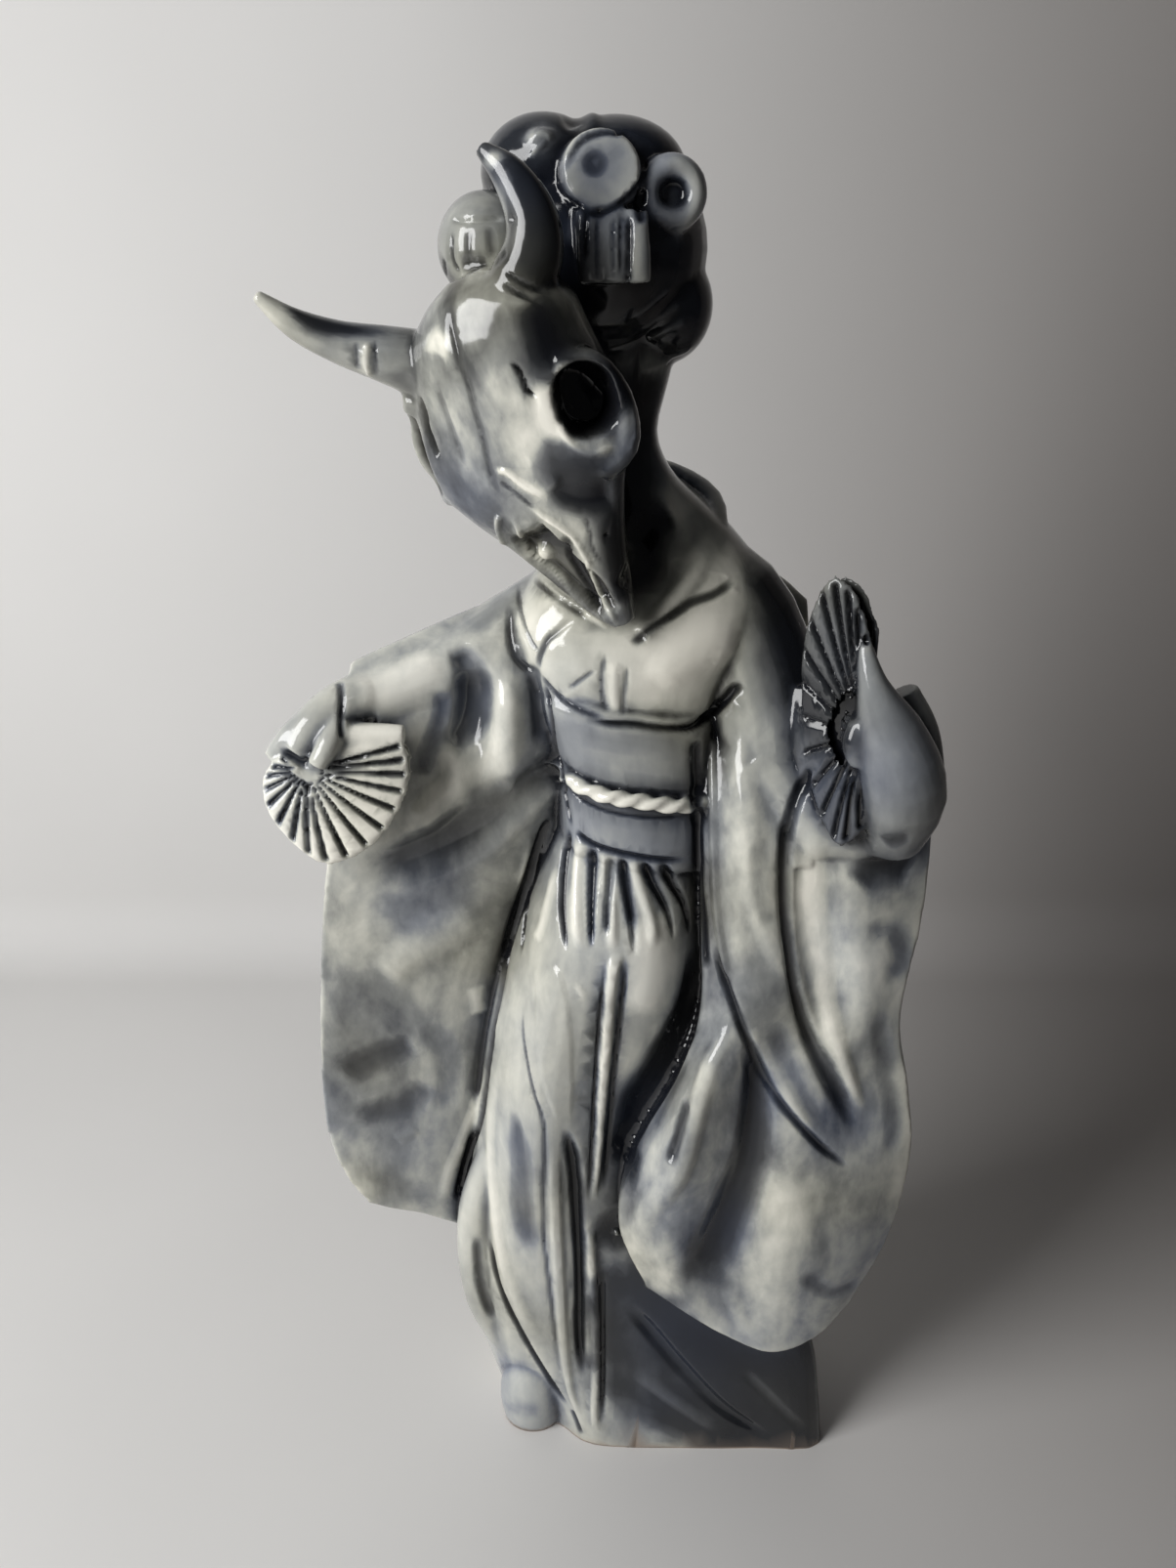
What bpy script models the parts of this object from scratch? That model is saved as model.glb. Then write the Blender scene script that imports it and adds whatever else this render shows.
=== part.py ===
"""Glazed ceramic figurine: a robed dancer with a horned animal skull for a face.

One slip-cast body. Its forms are drawn in hundredths of the figure's nominal
height, fused by a voxel remesh, pressed with folds and hollows, cut flat
underneath and reduced to an even net of triangles. The origin is the centre of
the underside and the front is towards -Y.
"""
import math

import bmesh
import bpy
import numpy as np
from mathutils import Matrix

FIGURE_HEIGHT = 0.320
UNIT = FIGURE_HEIGHT / 100
VOXEL = 0.34 * UNIT
TRIANGLES = 9600
UNDERSIDE_LEVEL = 0.25
GLAZE_COLOUR = (0.56, 0.57, 0.58, 1.0)
GLAZE_ROUGHNESS = 0.12

for old in list(bpy.data.objects):
    bpy.data.objects.remove(old, do_unlink=True)

forms = bmesh.new()


def smooth_path(keys, count, closed=False):
    """Evenly parametrised Catmull-Rom curve through the key points."""
    keys = np.asarray(keys, float)
    total = len(keys)
    spans = total if closed else total - 1
    steps = np.arange(count) / count * spans if closed else np.linspace(0, spans, count)
    result = np.empty((count,) + keys.shape[1:])
    for row, step in enumerate(steps):
        low = min(int(step), spans - 1)
        t = step - low
        if closed:
            a, b, c, d = [keys[(low + shift) % total] for shift in (-1, 0, 1, 2)]
        else:
            b, c = keys[low], keys[low + 1]
            a = keys[low - 1] if low > 0 else 2 * b - c
            d = keys[low + 2] if low + 2 < total else 2 * c - b
        result[row] = 0.5 * (2 * b + (c - a) * t + (2 * a - 5 * b + 4 * c - d) * t * t
                             + (3 * b - a - 3 * c + d) * t ** 3)
    return result


def smooth_values(values, count):
    return smooth_path(np.asarray(values, float)[:, None], count)[:, 0]


def unit_vector(vector):
    vector = np.asarray(vector, float)
    return vector / max(np.linalg.norm(vector), 1e-9)


def add_loft(rings):
    """Closed skin through a stack of rings with the same number of points."""
    loops = [[forms.verts.new(point) for point in ring] for ring in rings]
    for lower, upper in zip(loops[:-1], loops[1:]):
        for step in range(len(lower)):
            after = (step + 1) % len(lower)
            forms.faces.new((lower[step], lower[after], upper[after], upper[step]))
    forms.faces.new(loops[0][::-1])
    forms.faces.new(loops[-1])


def add_tube(keys, radii, flat=1.0, up=(0, 0, 1), count=14, around=24):
    """Tapered bar along a smooth path; flat squeezes it along up."""
    path = smooth_path(keys, count)
    sizes = smooth_values(radii, count)
    angles = np.linspace(0, 2 * math.pi, around, endpoint=False)[:, None]
    rings = []
    top = np.asarray(up, float)
    for place in range(count):
        ahead = unit_vector(path[min(place + 1, count - 1)] - path[max(place - 1, 0)])
        if place == 0 and abs(ahead @ top) > 0.9:
            top = np.array((1.0, 0.0, 0.0))
        side = unit_vector(np.cross(ahead, top))
        top = np.cross(side, ahead)
        rings.append(path[place] + sizes[place] * (np.cos(angles) * side
                                                   + flat * np.sin(angles) * top))
    add_loft(rings)


def add_ball(centre, radii, turn=0.0):
    """Ellipsoid, turned about the vertical by turn degrees."""
    place = (Matrix.Translation(centre) @ Matrix.Rotation(math.radians(turn), 4, "Z")
             @ Matrix.Diagonal((*radii, 1.0)))
    bmesh.ops.create_uvsphere(forms, u_segments=32, v_segments=18, radius=1, matrix=place)


def level_ring(height, keys, tilt=0.0):
    """Level ring through plan points; tilt drops it per unit towards +X."""
    plan = smooth_path(keys, 48, closed=True)
    lift = height - tilt * (plan[:, 0] - plan[:, 0].mean())
    return np.column_stack([plan, lift])


def oval_keys(left, right, front, back, fullness=0.78):
    """Eight plan points of a rounded-square oval."""
    centre = np.array([(left + right) / 2, (front + back) / 2])
    half = np.array([(right - left) / 2, (back - front) / 2])
    near = fullness
    compass = [(1, 0), (near, -near), (0, -1), (-near, -near),
               (-1, 0), (-near, near), (0, 1), (near, near)]
    return [centre + half * np.array(way) for way in compass]


def add_drape(rows, depths, across=26, down=44, edge=0.9):
    """Hanging cloth bag: rows of front points, each row with its depths behind."""
    share = np.linspace(0, 1, across)
    taper = np.clip(np.minimum(share, 1 - share) / 0.16, 0, 1)
    taper = np.sqrt(1 - (1 - taper) ** 2)
    rings = []
    for row, depth in zip(rows, depths):
        front = smooth_path(row, across)
        thickness = edge + (smooth_values(depth, across) - edge) * taper
        back = front + np.outer(thickness, (0, 1, 0))
        rings.append(np.concatenate([front, back[::-1]]))
    rings = smooth_path(rings, down)
    ends = []
    for last, before in ((rings[0], rings[1]), (rings[-1], rings[-2])):
        middle = (last + last[::-1]) / 2
        away = edge / 2 * unit_vector((last - before).mean(axis=0))
        ends.append(middle + (last - middle) * 0.45 + away)
    add_loft([ends[0], *rings, ends[1]])


def add_fan(pivot, rim, facing, thickness, bulge):
    """Open fan: a gently domed plate between the pivot and a smooth rim."""
    facing = unit_vector(facing)
    spokes = smooth_path(rim, 28) - pivot
    rings = []
    for share in (0.06, 0.3, 0.55, 0.8, 0.95, 1.0):
        middle = pivot + spokes * share + facing * bulge * math.sin(math.pi * min(share, 0.95))
        half = facing * thickness / 2 * (0.45 if share == 1.0 else 1.0)
        rings.append(np.concatenate([middle + half, (middle - half)[::-1]]))
    add_loft(rings)


# Skirt: plan outlines from the hem up, each starting at the right front corner
SKIRT = [
    (0.0, [(13.9, -8.2), (8, -8.7), (2, -8.7), (-5.4, -8.4), (-8.4, -6.4), (-12.0, -4.6),
           (-13.4, -1.0), (-11.5, 5.0), (-5.0, 8.6), (3.0, 8.6), (9.0, 5.5), (12.8, -2.0)]),
    (5.0, [(13.4, -7.8), (8, -8.3), (2, -8.2), (-5.4, -7.9), (-8.8, -6.8), (-13.0, -5.0),
           (-14.8, -1.2), (-12.2, 5.0), (-5.0, 8.4), (3.0, 8.4), (8.8, 5.0), (12.4, -2.0)]),
    (11.0, [(12.4, -7.2), (7, -7.7), (1.5, -7.6), (-5.3, -7.3), (-9.2, -7.3), (-13.9, -5.4),
            (-16.2, -1.5), (-12.8, 4.8), (-5.0, 8.0), (3.0, 8.0), (8.0, 4.5), (11.2, -2.0)]),
    (20.0, [(8.6, -6.0), (4.8, -6.6), (-0.6, -6.4), (-5.2, -6.7), (-9.9, -7.5), (-14.0, -5.2),
            (-16.2, -1.5), (-12.6, 4.6), (-5.5, 7.6), (1.5, 7.4), (5.6, 4.0), (7.6, -1.0)]),
    (30.0, [(4.4, -5.0), (2.0, -5.6), (-1.6, -5.8), (-5.0, -6.7), (-10.0, -7.8), (-13.6, -4.9),
            (-14.9, -1.5), (-12.0, 4.5), (-5.5, 7.4), (0.0, 7.0), (2.8, 3.5), (4.0, -1.0)]),
    (40.0, [(3.2, -3.0), (1.4, -5.6), (-1.5, -7.0), (-4.5, -7.5), (-9.2, -8.0), (-12.4, -4.8),
            (-13.4, -1.0), (-11.0, 4.5), (-5.0, 7.2), (0.0, 6.6), (2.6, 3.0), (3.3, -0.5)]),
    (48.0, [(3.3, -2.5), (1.6, -5.4), (-1.0, -7.2), (-3.8, -7.7), (-7.6, -7.2), (-10.4, -4.2),
            (-11.3, -1.0), (-9.3, 4.0), (-4.5, 6.4), (-0.5, 5.9), (2.2, 2.8), (3.3, 0.0)]),
    (55.0, [(3.0, -1.8), (1.8, -4.2), (-0.4, -5.6), (-3.0, -6.1), (-5.8, -5.5), (-7.9, -3.6),
            (-8.6, -1.0), (-7.2, 3.0), (-3.6, 4.9), (-0.2, 4.6), (2.0, 2.4), (2.9, 0.2)]),
    (58.0, [(2.8, -1.6), (1.8, -3.9), (-0.4, -5.2), (-3.0, -5.6), (-5.6, -5.0), (-7.6, -3.4),
            (-8.2, -1.0), (-7.0, 2.8), (-3.6, 4.6), (-0.2, 4.3), (1.9, 2.2), (2.7, 0.2)]),
]
add_loft(smooth_path([level_ring(height, keys) for height, keys in SKIRT], 48))

# Sash and its folded edges, tilted down to the viewer's right
SASH_TILT = 0.17
SASH = [(54.4, -7.9, 2.9, -6.3, 4.9), (55.2, -8.2, 3.1, -6.6, 5.1), (57.5, -8.3, 3.2, -6.5, 5.1),
        (60.0, -8.5, 3.2, -6.3, 5.1), (63.0, -9.2, 3.1, -6.5, 5.1), (65.0, -9.8, 3.1, -6.8, 5.1),
        (65.9, -9.6, 2.9, -6.5, 4.9)]
add_loft(smooth_path([level_ring(row[0], oval_keys(*row[1:]), SASH_TILT) for row in SASH], 16))

# Chest, shoulders and neck
CHEST = [(63.0, -9.0, 2.8, -5.8, 4.6), (66.0, -9.9, 3.4, -6.1, 4.9), (69.0, -10.9, 4.6, -6.7, 5.1),
         (71.5, -11.2, 5.8, -6.3, 5.3), (74.0, -9.6, 5.8, -5.0, 5.2), (76.5, -7.6, 4.0, -3.8, 4.6),
         (78.6, -6.6, 1.8, -3.0, 4.0), (80.5, -6.4, -0.4, -2.6, 3.4), (83.0, -6.9, -1.5, -2.6, 3.0),
         (86.0, -7.0, -0.9, -2.8, 3.2), (89.0, -7.2, -0.2, -3.0, 3.4)]
add_loft(smooth_path([level_ring(row[0], oval_keys(*row[1:])) for row in CHEST], 32))

# Collar band standing behind the neck
add_tube([(-6.8, -3.4, 75.6), (-6.6, 1.5, 78.6), (-2.4, 4.4, 80.0), (2.2, 1.6, 78.4),
          (1.4, -3.4, 75.2), (-2.6, -6.2, 71.2)], (0.7, 0.9, 1.0, 0.9, 0.8, 0.6), count=26)

# Upper arms inside the sleeves
add_tube([(-5.5, 0.6, 71.4), (-10.5, -0.2, 69.2), (-15.5, -1.8, 67.2), (-20.8, -4.2, 66.0)],
         (4.2, 3.6, 3.0, 2.2))
add_tube([(-0.5, 0.4, 73.4), (3.6, -0.4, 71.0), (5.9, -1.8, 66.0), (6.8, -3.0, 60.5),
          (7.6, -4.2, 54.5)], (4.4, 4.4, 4.2, 4.1, 3.6))
add_tube([(5.8, -3.2, 62.0), (8.6, -4.4, 59.0), (12.4, -5.6, 58.0), (15.0, -6.4, 58.4)],
         (3.6, 3.6, 3.2, 2.6))

# Viewer's left sleeve, rows from the shoulder to the hem
LEFT_SLEEVE = [
    [(-7.6, -0.6, 73.2), (-11.4, -1.0, 71.9), (-15.6, -2.2, 70.5), (-19.0, -3.6, 69.3),
     (-21.8, -4.6, 68.3)],
    [(-7.4, -2.8, 71.6), (-11.4, -3.6, 70.4), (-15.4, -4.4, 69.0), (-19.0, -5.2, 67.9),
     (-22.1, -5.7, 67.0)],
    [(-7.4, -3.4, 66.8), (-11.0, -5.0, 65.4), (-14.4, -4.6, 64.8), (-19.0, -5.6, 64.9),
     (-22.6, -5.8, 64.2)],
    [(-6.6, -2.4, 59.8), (-11.0, -4.8, 59.4), (-15.4, -4.6, 57.4), (-19.8, -5.2, 56.2),
     (-24.0, -5.0, 56.6)],
    [(-7.6, -1.2, 53.0), (-12.8, -3.2, 51.6), (-17.4, -3.8, 50.4), (-21.2, -4.2, 49.9),
     (-25.2, -4.4, 50.1)],
    [(-10.6, -1.0, 43.0), (-15.6, -2.7, 41.4), (-19.6, -3.4, 40.0), (-23.3, -3.8, 39.4),
     (-26.4, -4.0, 39.6)],
    [(-13.4, -1.2, 30.8), (-17.6, -2.7, 29.5), (-21.1, -3.3, 28.9), (-24.4, -3.7, 29.0),
     (-26.7, -4.0, 30.4)],
    [(-15.2, -1.6, 23.6), (-18.2, -2.7, 23.2), (-20.8, -3.2, 23.4), (-23.5, -3.5, 24.0),
     (-25.6, -3.7, 25.2)],
    [(-16.6, -1.9, 18.4), (-18.2, -2.4, 19.5), (-20.0, -2.8, 20.6), (-22.4, -3.1, 21.4),
     (-24.2, -3.4, 22.4)],
]
LEFT_DEPTHS = [(2.0, 2.0, 1.8, 1.6, 1.2), (5.4, 5.6, 5.0, 4.0, 2.6), (6.0, 6.4, 5.6, 4.4, 2.6),
               (5.5, 6.6, 5.6, 4.6, 2.4), (5.0, 6.0, 5.2, 4.4, 2.2), (4.4, 5.4, 4.8, 4.0, 2.0),
               (4.0, 4.6, 4.2, 3.4, 1.8), (3.6, 4.0, 3.4, 2.8, 1.6), (2.4, 2.4, 2.2, 2.0, 1.4)]
add_drape(LEFT_SLEEVE, LEFT_DEPTHS, down=50)

# Viewer's right sleeve, rows from the elbow to the hem
RIGHT_SLEEVE = [
    [(2.6, -2.6, 66.4), (4.8, -4.4, 66.4), (7.6, -4.6, 65.0), (10.4, -5.0, 63.8), (13.4, -5.6, 63.2),
     (16.4, -5.8, 62.8)],
    [(1.8, -4.6, 61.4), (4.4, -6.3, 62.2), (7.4, -6.6, 61.6), (10.2, -6.4, 60.6), (13.2, -7.0, 60.2),
     (17.2, -6.2, 60.0)],
    [(1.8, -5.9, 56.0), (4.1, -7.4, 57.6), (6.8, -7.7, 57.6), (9.3, -7.0, 56.9), (12.4, -8.0, 56.8),
     (17.5, -6.6, 56.6)],
    [(2.1, -6.4, 49.0), (4.6, -7.9, 51.0), (7.2, -8.1, 50.8), (9.8, -7.1, 49.8), (12.8, -8.2, 50.5),
     (17.4, -7.0, 50.4)],
    [(2.1, -7.2, 43.0), (4.6, -8.7, 45.0), (7.9, -8.5, 44.2), (11.0, -7.6, 43.6), (13.6, -8.4, 43.8),
     (16.6, -7.5, 43.0)],
    [(0.4, -7.8, 37.6), (2.7, -10.0, 39.4), (5.9, -9.0, 38.2), (9.4, -9.2, 38.0),
     (13.4, -8.4, 37.0), (17.7, -7.8, 37.2)],
    [(-2.8, -7.6, 30.6), (0.4, -10.6, 32.0), (5.1, -9.5, 30.4), (9.5, -10.2, 31.0),
     (14.2, -9.4, 31.0), (18.5, -8.0, 31.0)],
    [(-3.6, -8.4, 24.4), (-0.1, -10.6, 24.6), (4.7, -9.7, 22.2), (9.2, -10.8, 22.9),
     (13.9, -9.9, 22.9), (17.5, -8.2, 23.2)],
    [(-1.5, -8.8, 18.8), (1.5, -9.3, 16.6), (5.1, -9.7, 14.3), (8.8, -10.2, 13.1),
     (12.3, -9.9, 14.6), (15.0, -8.9, 17.4)],
]
RIGHT_DEPTHS = [(2.0, 3.0, 3.0, 3.0, 3.0, 1.6), (3.6, 6.0, 6.4, 6.0, 5.0, 2.4),
                (4.0, 6.8, 7.0, 6.2, 5.6, 2.6), (4.0, 7.2, 7.2, 6.2, 5.4, 2.6),
                (3.6, 7.4, 7.0, 6.2, 5.2, 2.4), (3.4, 7.8, 6.8, 6.8, 5.2, 2.2),
                (3.4, 7.8, 6.8, 7.0, 5.4, 2.2), (3.0, 6.4, 5.6, 5.8, 4.6, 2.0),
                (1.8, 2.4, 2.6, 2.8, 2.4, 1.8)]
add_drape(RIGHT_SLEEVE, RIGHT_DEPTHS, across=30)

# Rolled hem over the foot and the drape hanging left of the skirt
add_ball((-10.9, -5.0, 2.6), (2.8, 2.4, 5.0), turn=-12)
add_tube([(-13.0, -3.4, 29.0), (-15.0, -3.2, 21.0), (-14.8, -3.8, 13.0), (-12.8, -4.4, 6.8)],
         (1.4, 1.8, 1.7, 0.9))

# Sash cord, here without its twist
CORD_RADIUS = 0.62
CORD = [(-8.9, -1.2, 61.6), (-7.6, -4.8, 60.9), (-5.2, -6.6, 60.3), (-2.6, -6.9, 59.9),
        (0.2, -6.5, 59.4), (2.6, -4.6, 59.0), (3.6, -1.0, 58.8)]
add_tube(CORD, [CORD_RADIUS] * len(CORD), count=26)

# Bow of the sash on the back
add_ball((-2.8, 6.2, 66.0), (2.4, 2.6, 3.0))
add_tube([(-2.8, 5.8, 66.0), (2.8, 6.2, 68.2), (7.4, 6.0, 69.2), (10.2, 5.6, 69.6)],
         (2.0, 4.0, 3.6, 1.0), flat=0.55, up=(0, 1, 0))
add_tube([(-2.8, 5.8, 66.0), (-7.4, 6.0, 67.6), (-10.8, 5.6, 68.2), (-13.0, 5.0, 68.2)],
         (2.0, 3.8, 3.2, 1.0), flat=0.55, up=(0, 1, 0))
add_tube([(-4.0, 5.4, 65.0), (-5.2, 5.8, 56.0), (-6.2, 7.0, 48.0), (-6.4, 7.4, 45.0)],
         (2.2, 2.9, 3.2, 2.6), flat=0.5, up=(0, 1, 0))
add_tube([(-1.2, 5.4, 65.0), (-0.6, 5.8, 56.0), (0.2, 6.8, 50.0), (0.4, 7.0, 47.0)],
         (2.0, 2.7, 3.0, 2.4), flat=0.5, up=(0, 1, 0))

# Hair: main mass, crown rolls, nape roll, side lobe and back bun
add_ball((-6.0, 0.6, 93.8), (7.4, 7.2, 6.6))
add_ball((-1.4, 0.2, 90.6), (3.2, 4.0, 3.5))
add_ball((-8.6, -1.6, 97.8), (3.7, 3.8, 3.2), turn=20)
add_ball((-4.4, -0.4, 97.9), (4.3, 4.4, 3.1), turn=-15)
add_ball((-6.6, -1.2, 98.2), (3.2, 3.4, 2.9))
add_ball((-4.8, 6.4, 93.6), (4.4, 3.6, 4.4))
add_ball((-11.9, -4.4, 93.8), (2.8, 3.2, 3.0), turn=15)

# Hair ornaments: flower, small flower, ribbon loop and hanging strips
FLOWER = np.array((-5.3, -5.4, 97.5))
FLOWER_FACING = np.array((0.05, -0.95, 0.3))
add_tube([FLOWER - 1.6 * FLOWER_FACING, FLOWER, FLOWER + 0.9 * FLOWER_FACING],
         (2.2, 2.35, 2.1), count=8)
add_ball((-8.5, -4.5, 99.1), (1.1, 0.8, 0.8), turn=20)
LOOP = np.array((-1.3, -4.4, 96.6))
LOOP_STEPS = 13
turns = np.linspace(0, 2 * math.pi, LOOP_STEPS)
loop_path = LOOP + np.column_stack([1.4 * np.cos(turns), 0.3 * np.cos(turns),
                                    1.35 * np.sin(turns)])
add_tube(loop_path, [0.75] * LOOP_STEPS, flat=1.3, up=(0, 1, 0), count=26)
add_ball(LOOP + (0, 0.6, 0), (1.3, 0.9, 1.3))
for shift in (0.0, 1.3, 2.6):
    add_tube([(-6.0 + shift, -6.4, 95.6), (-5.9 + shift, -7.0, 93.6),
              (-5.8 + shift, -6.9, 91.9)], (0.75, 0.8, 0.8), flat=0.75, up=(0, 1, 0), count=8)

# Skull frame: along from crown to muzzle, across, and out of the face
SKULL_START = np.array((-14.2, -10.7, 91.2))
SKULL_ALONG = unit_vector((0.384, 0.103, -0.918))
SKULL_ACROSS = np.array((0.845, -0.441, 0.304))
SKULL_ACROSS = unit_vector(SKULL_ACROSS - SKULL_ALONG * SKULL_ACROSS.dot(SKULL_ALONG))
SKULL_OUT = np.cross(SKULL_ALONG, SKULL_ACROSS)


def skull_point(along, across, out):
    return SKULL_START + along * SKULL_ALONG + across * SKULL_ACROSS + out * SKULL_OUT


# Skull stations: distance along, left and right edges, then the levels of the
# front, the widest line and the back
SKULL = [(-0.2, -0.6, 1.6, -2.0, -2.8, -4.0), (0.7, -2.6, 3.8, -0.7, -2.8, -5.6),
         (2.4, -4.7, 5.8, 0.1, -3.0, -6.8), (4.7, -5.9, 6.0, 0.4, -3.2, -7.2),
         (7.3, -7.1, 6.3, 0.3, -3.3, -7.2), (9.3, -7.6, 6.6, 0.1, -3.2, -6.6),
         (11.1, -7.0, 6.2, 0.0, -3.0, -5.8), (13.0, -5.6, 5.1, -0.1, -2.7, -5.2),
         (14.9, -4.0, 4.3, -0.3, -2.5, -4.8), (17.0, -2.4, 3.6, -0.4, -2.3, -4.4),
         (19.9, -0.5, 2.9, -0.7, -2.0, -3.8), (21.6, 0.9, 2.5, -1.2, -2.0, -3.0)]


def skull_ring(along, left, right, front, side, back):
    centre = (left + right) / 2
    half = (right - left) / 2
    ring = []
    for angle in np.linspace(0, 2 * math.pi, 32, endpoint=False):
        lift = math.sin(angle)
        reach = front - side if lift > 0 else side - back
        swell = math.copysign(abs(math.cos(angle)) ** 0.85, math.cos(angle))
        ring.append(skull_point(along, centre + half * swell, side + reach * lift))
    return ring


add_loft(smooth_path([skull_ring(*station) for station in SKULL], 40))

# Brow rim and cheek beside the sockets, and the horns
add_tube([skull_point(5.4, 4.6, -1.3), skull_point(6.4, 6.2, -2.2), skull_point(8.8, 6.6, -2.8),
          skull_point(11.2, 6.0, -2.6), skull_point(12.2, 4.4, -1.5)], (0.7, 0.8, 0.8, 0.8, 0.6))
add_tube([skull_point(4.6, -5.2, -1.6), skull_point(6.6, -6.7, -2.6), skull_point(9.2, -7.2, -2.8),
          skull_point(11.4, -6.2, -2.4)], (0.7, 0.8, 0.8, 0.7))
add_tube([(-10.2, -9.0, 89.6), (-9.7, -9.4, 91.6), (-8.9, -9.6, 93.6), (-9.1, -9.4, 95.4),
          (-10.2, -9.2, 97.2), (-11.7, -9.0, 98.5)], (2.1, 1.9, 1.65, 1.4, 1.0, 0.4), count=20)
add_tube([(-14.4, -6.0, 87.0), (-16.4, -6.2, 87.7), (-18.2, -6.6, 88.2), (-20.4, -7.0, 88.8),
          (-22.7, -7.5, 89.8), (-24.6, -8.0, 91.3)], (2.3, 1.85, 1.55, 1.2, 0.85, 0.35), count=20)

# Viewer's left fan and hand
FAN_THICKNESS = 1.5
FAN_BULGE = 0.3
add_fan((-24.4, -7.4, 62.6), [(-23.7, -7.2, 64.2), (-20.0, -7.1, 64.8), (-17.9, -7.1, 64.2),
                              (-17.6, -7.3, 62.2), (-18.4, -7.7, 59.7), (-20.5, -8.1, 57.1),
                              (-23.4, -8.4, 56.0), (-25.7, -8.2, 57.5), (-27.3, -7.9, 60.0),
                              (-27.3, -7.6, 62.2), (-26.0, -7.4, 63.6)],
        (0.03, -0.98, 0.14), FAN_THICKNESS, FAN_BULGE)
add_tube([(-17.9, -7.3, 64.9), (-20.6, -7.2, 64.8), (-23.4, -7.2, 64.6)], (0.6, 0.8, 0.9))
add_tube([(-19.6, -3.8, 66.4), (-22.0, -5.4, 66.2), (-24.0, -6.9, 65.2), (-25.2, -7.8, 63.8)],
         (1.8, 1.75, 1.4, 0.8))
add_tube([(-23.2, -6.6, 66.0), (-25.2, -7.2, 64.9), (-26.8, -7.2, 63.2)], (1.0, 0.85, 0.6))
add_tube([(-22.2, -7.0, 65.6), (-22.8, -8.3, 64.4), (-23.6, -8.7, 63.2)], (0.9, 0.8, 0.6))

# Viewer's right fan, seen nearly edge on, its hand and the cuff behind
add_fan((12.0, -8.9, 65.6), [(11.6, -9.2, 72.4), (10.4, -8.8, 75.0), (9.0, -8.0, 75.4),
                             (8.1, -7.0, 72.4), (8.0, -6.4, 68.4), (8.5, -6.6, 64.0),
                             (9.4, -7.8, 60.2), (10.8, -9.0, 57.6), (12.4, -9.4, 58.8)],
        (-0.75, -0.65, 0.1), FAN_THICKNESS, FAN_BULGE)
add_tube([(10.9, -9.6, 71.6), (11.6, -10.0, 69.0), (13.0, -9.6, 65.6), (14.4, -8.8, 61.6),
          (14.4, -6.6, 57.6)], (0.45, 1.0, 2.3, 2.9, 2.6))
add_tube([(11.0, -9.8, 66.6), (10.7, -10.0, 65.2), (11.2, -9.8, 63.8)], (0.7, 0.75, 0.6))
add_tube([(14.4, -6.6, 67.6), (15.8, -6.6, 64.6), (16.6, -6.6, 60.6)], (1.0, 1.3, 1.4))

# Clay that joins the fan's inner edge to the sleeve and the muzzle to the chest
add_tube([(8.4, -4.6, 67.4), (8.9, -5.4, 65.2), (9.3, -6.0, 62.6), (9.6, -6.6, 60.4)],
         (1.2, 1.7, 1.7, 1.3))
add_ball((-4.7, -6.4, 74.0), (1.2, 2.2, 1.4))

# One skin from all the forms
bmesh.ops.scale(forms, vec=(UNIT, UNIT, UNIT), verts=forms.verts[:])
source = bpy.data.meshes.new("forms")
forms.to_mesh(source)
forms.free()
figurine = bpy.data.objects.new("figurine", source)
collection = bpy.data.collections.new("skull_head_geisha_figurine")
bpy.context.scene.collection.children.link(collection)
collection.objects.link(figurine)


def apply_modifiers(target):
    """Bake the modifier stack of an object into its mesh."""
    graph = bpy.context.evaluated_depsgraph_get()
    baked = bpy.data.meshes.new_from_object(target.evaluated_get(graph))
    target.modifiers.clear()
    target.data = baked
    return baked


remesh = figurine.modifiers.new("fuse", "REMESH")
remesh.mode = "VOXEL"
remesh.voxel_size = VOXEL
soften = figurine.modifiers.new("soften", "SMOOTH")
soften.factor = 0.5
soften.iterations = 3
skin = apply_modifiers(figurine)

points = np.empty(len(skin.vertices) * 3)
skin.vertices.foreach_get("co", points)
points = points.reshape(-1, 3) / UNIT


def path_distance(keys):
    """Distance of every point of the skin from a smooth path."""
    if len(keys) == 1:
        return np.linalg.norm(points - keys[0], axis=1)
    path = smooth_path(keys, 24)
    nearest = np.full(len(points), np.inf)
    for start, end in zip(path[:-1], path[1:]):
        step = end - start
        share = np.clip((points - start) @ step / (step @ step), 0, 1)
        gap = np.linalg.norm(points - start - np.outer(share, step), axis=1)
        nearest = np.minimum(nearest, gap)
    return nearest


def press(keys, radius, depth, edge=None, direction=None):
    """Push the skin in along a stroke; edge is the width of the stroke's wall."""
    share = np.clip((radius - path_distance(keys)) / (edge or radius), 0, 1)
    weight = share * share * (3 - 2 * share)
    if direction is None:
        push = np.empty(len(skin.vertices) * 3)
        skin.vertices.foreach_get("normal", push)
        push = push.reshape(-1, 3)
    else:
        push = unit_vector(direction)
    points[:] = points - push * (weight * depth)[:, None]
    skin.vertices.foreach_set("co", (points * UNIT).ravel())
    skin.update()


# Eye sockets, nose opening and temple crack of the skull
press([skull_point(7.5, 5.5, -1.2), skull_point(8.3, 5.4, -1.2)], 1.95, 2.6, edge=0.8,
      direction=SKULL_OUT + 0.55 * SKULL_ACROSS)
press([skull_point(6.6, -6.9, -1.6), skull_point(9.6, -7.3, -1.8)], 1.6, 1.2)
press([skull_point(13.6, -1.2, -0.4), skull_point(16.0, -0.7, -0.5), skull_point(18.6, 0.6, -0.6),
       skull_point(20.6, 1.4, -0.9)], 1.9, 1.2)
# Hollow of the big flower and the valley between the hair rolls
press([FLOWER + 0.9 * FLOWER_FACING], 1.0, 0.5)
press([(-6.6, -4.6, 99.8), (-6.7, -1.0, 101.2), (-6.6, 3.0, 99.8)], 1.1, 0.4)
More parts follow.
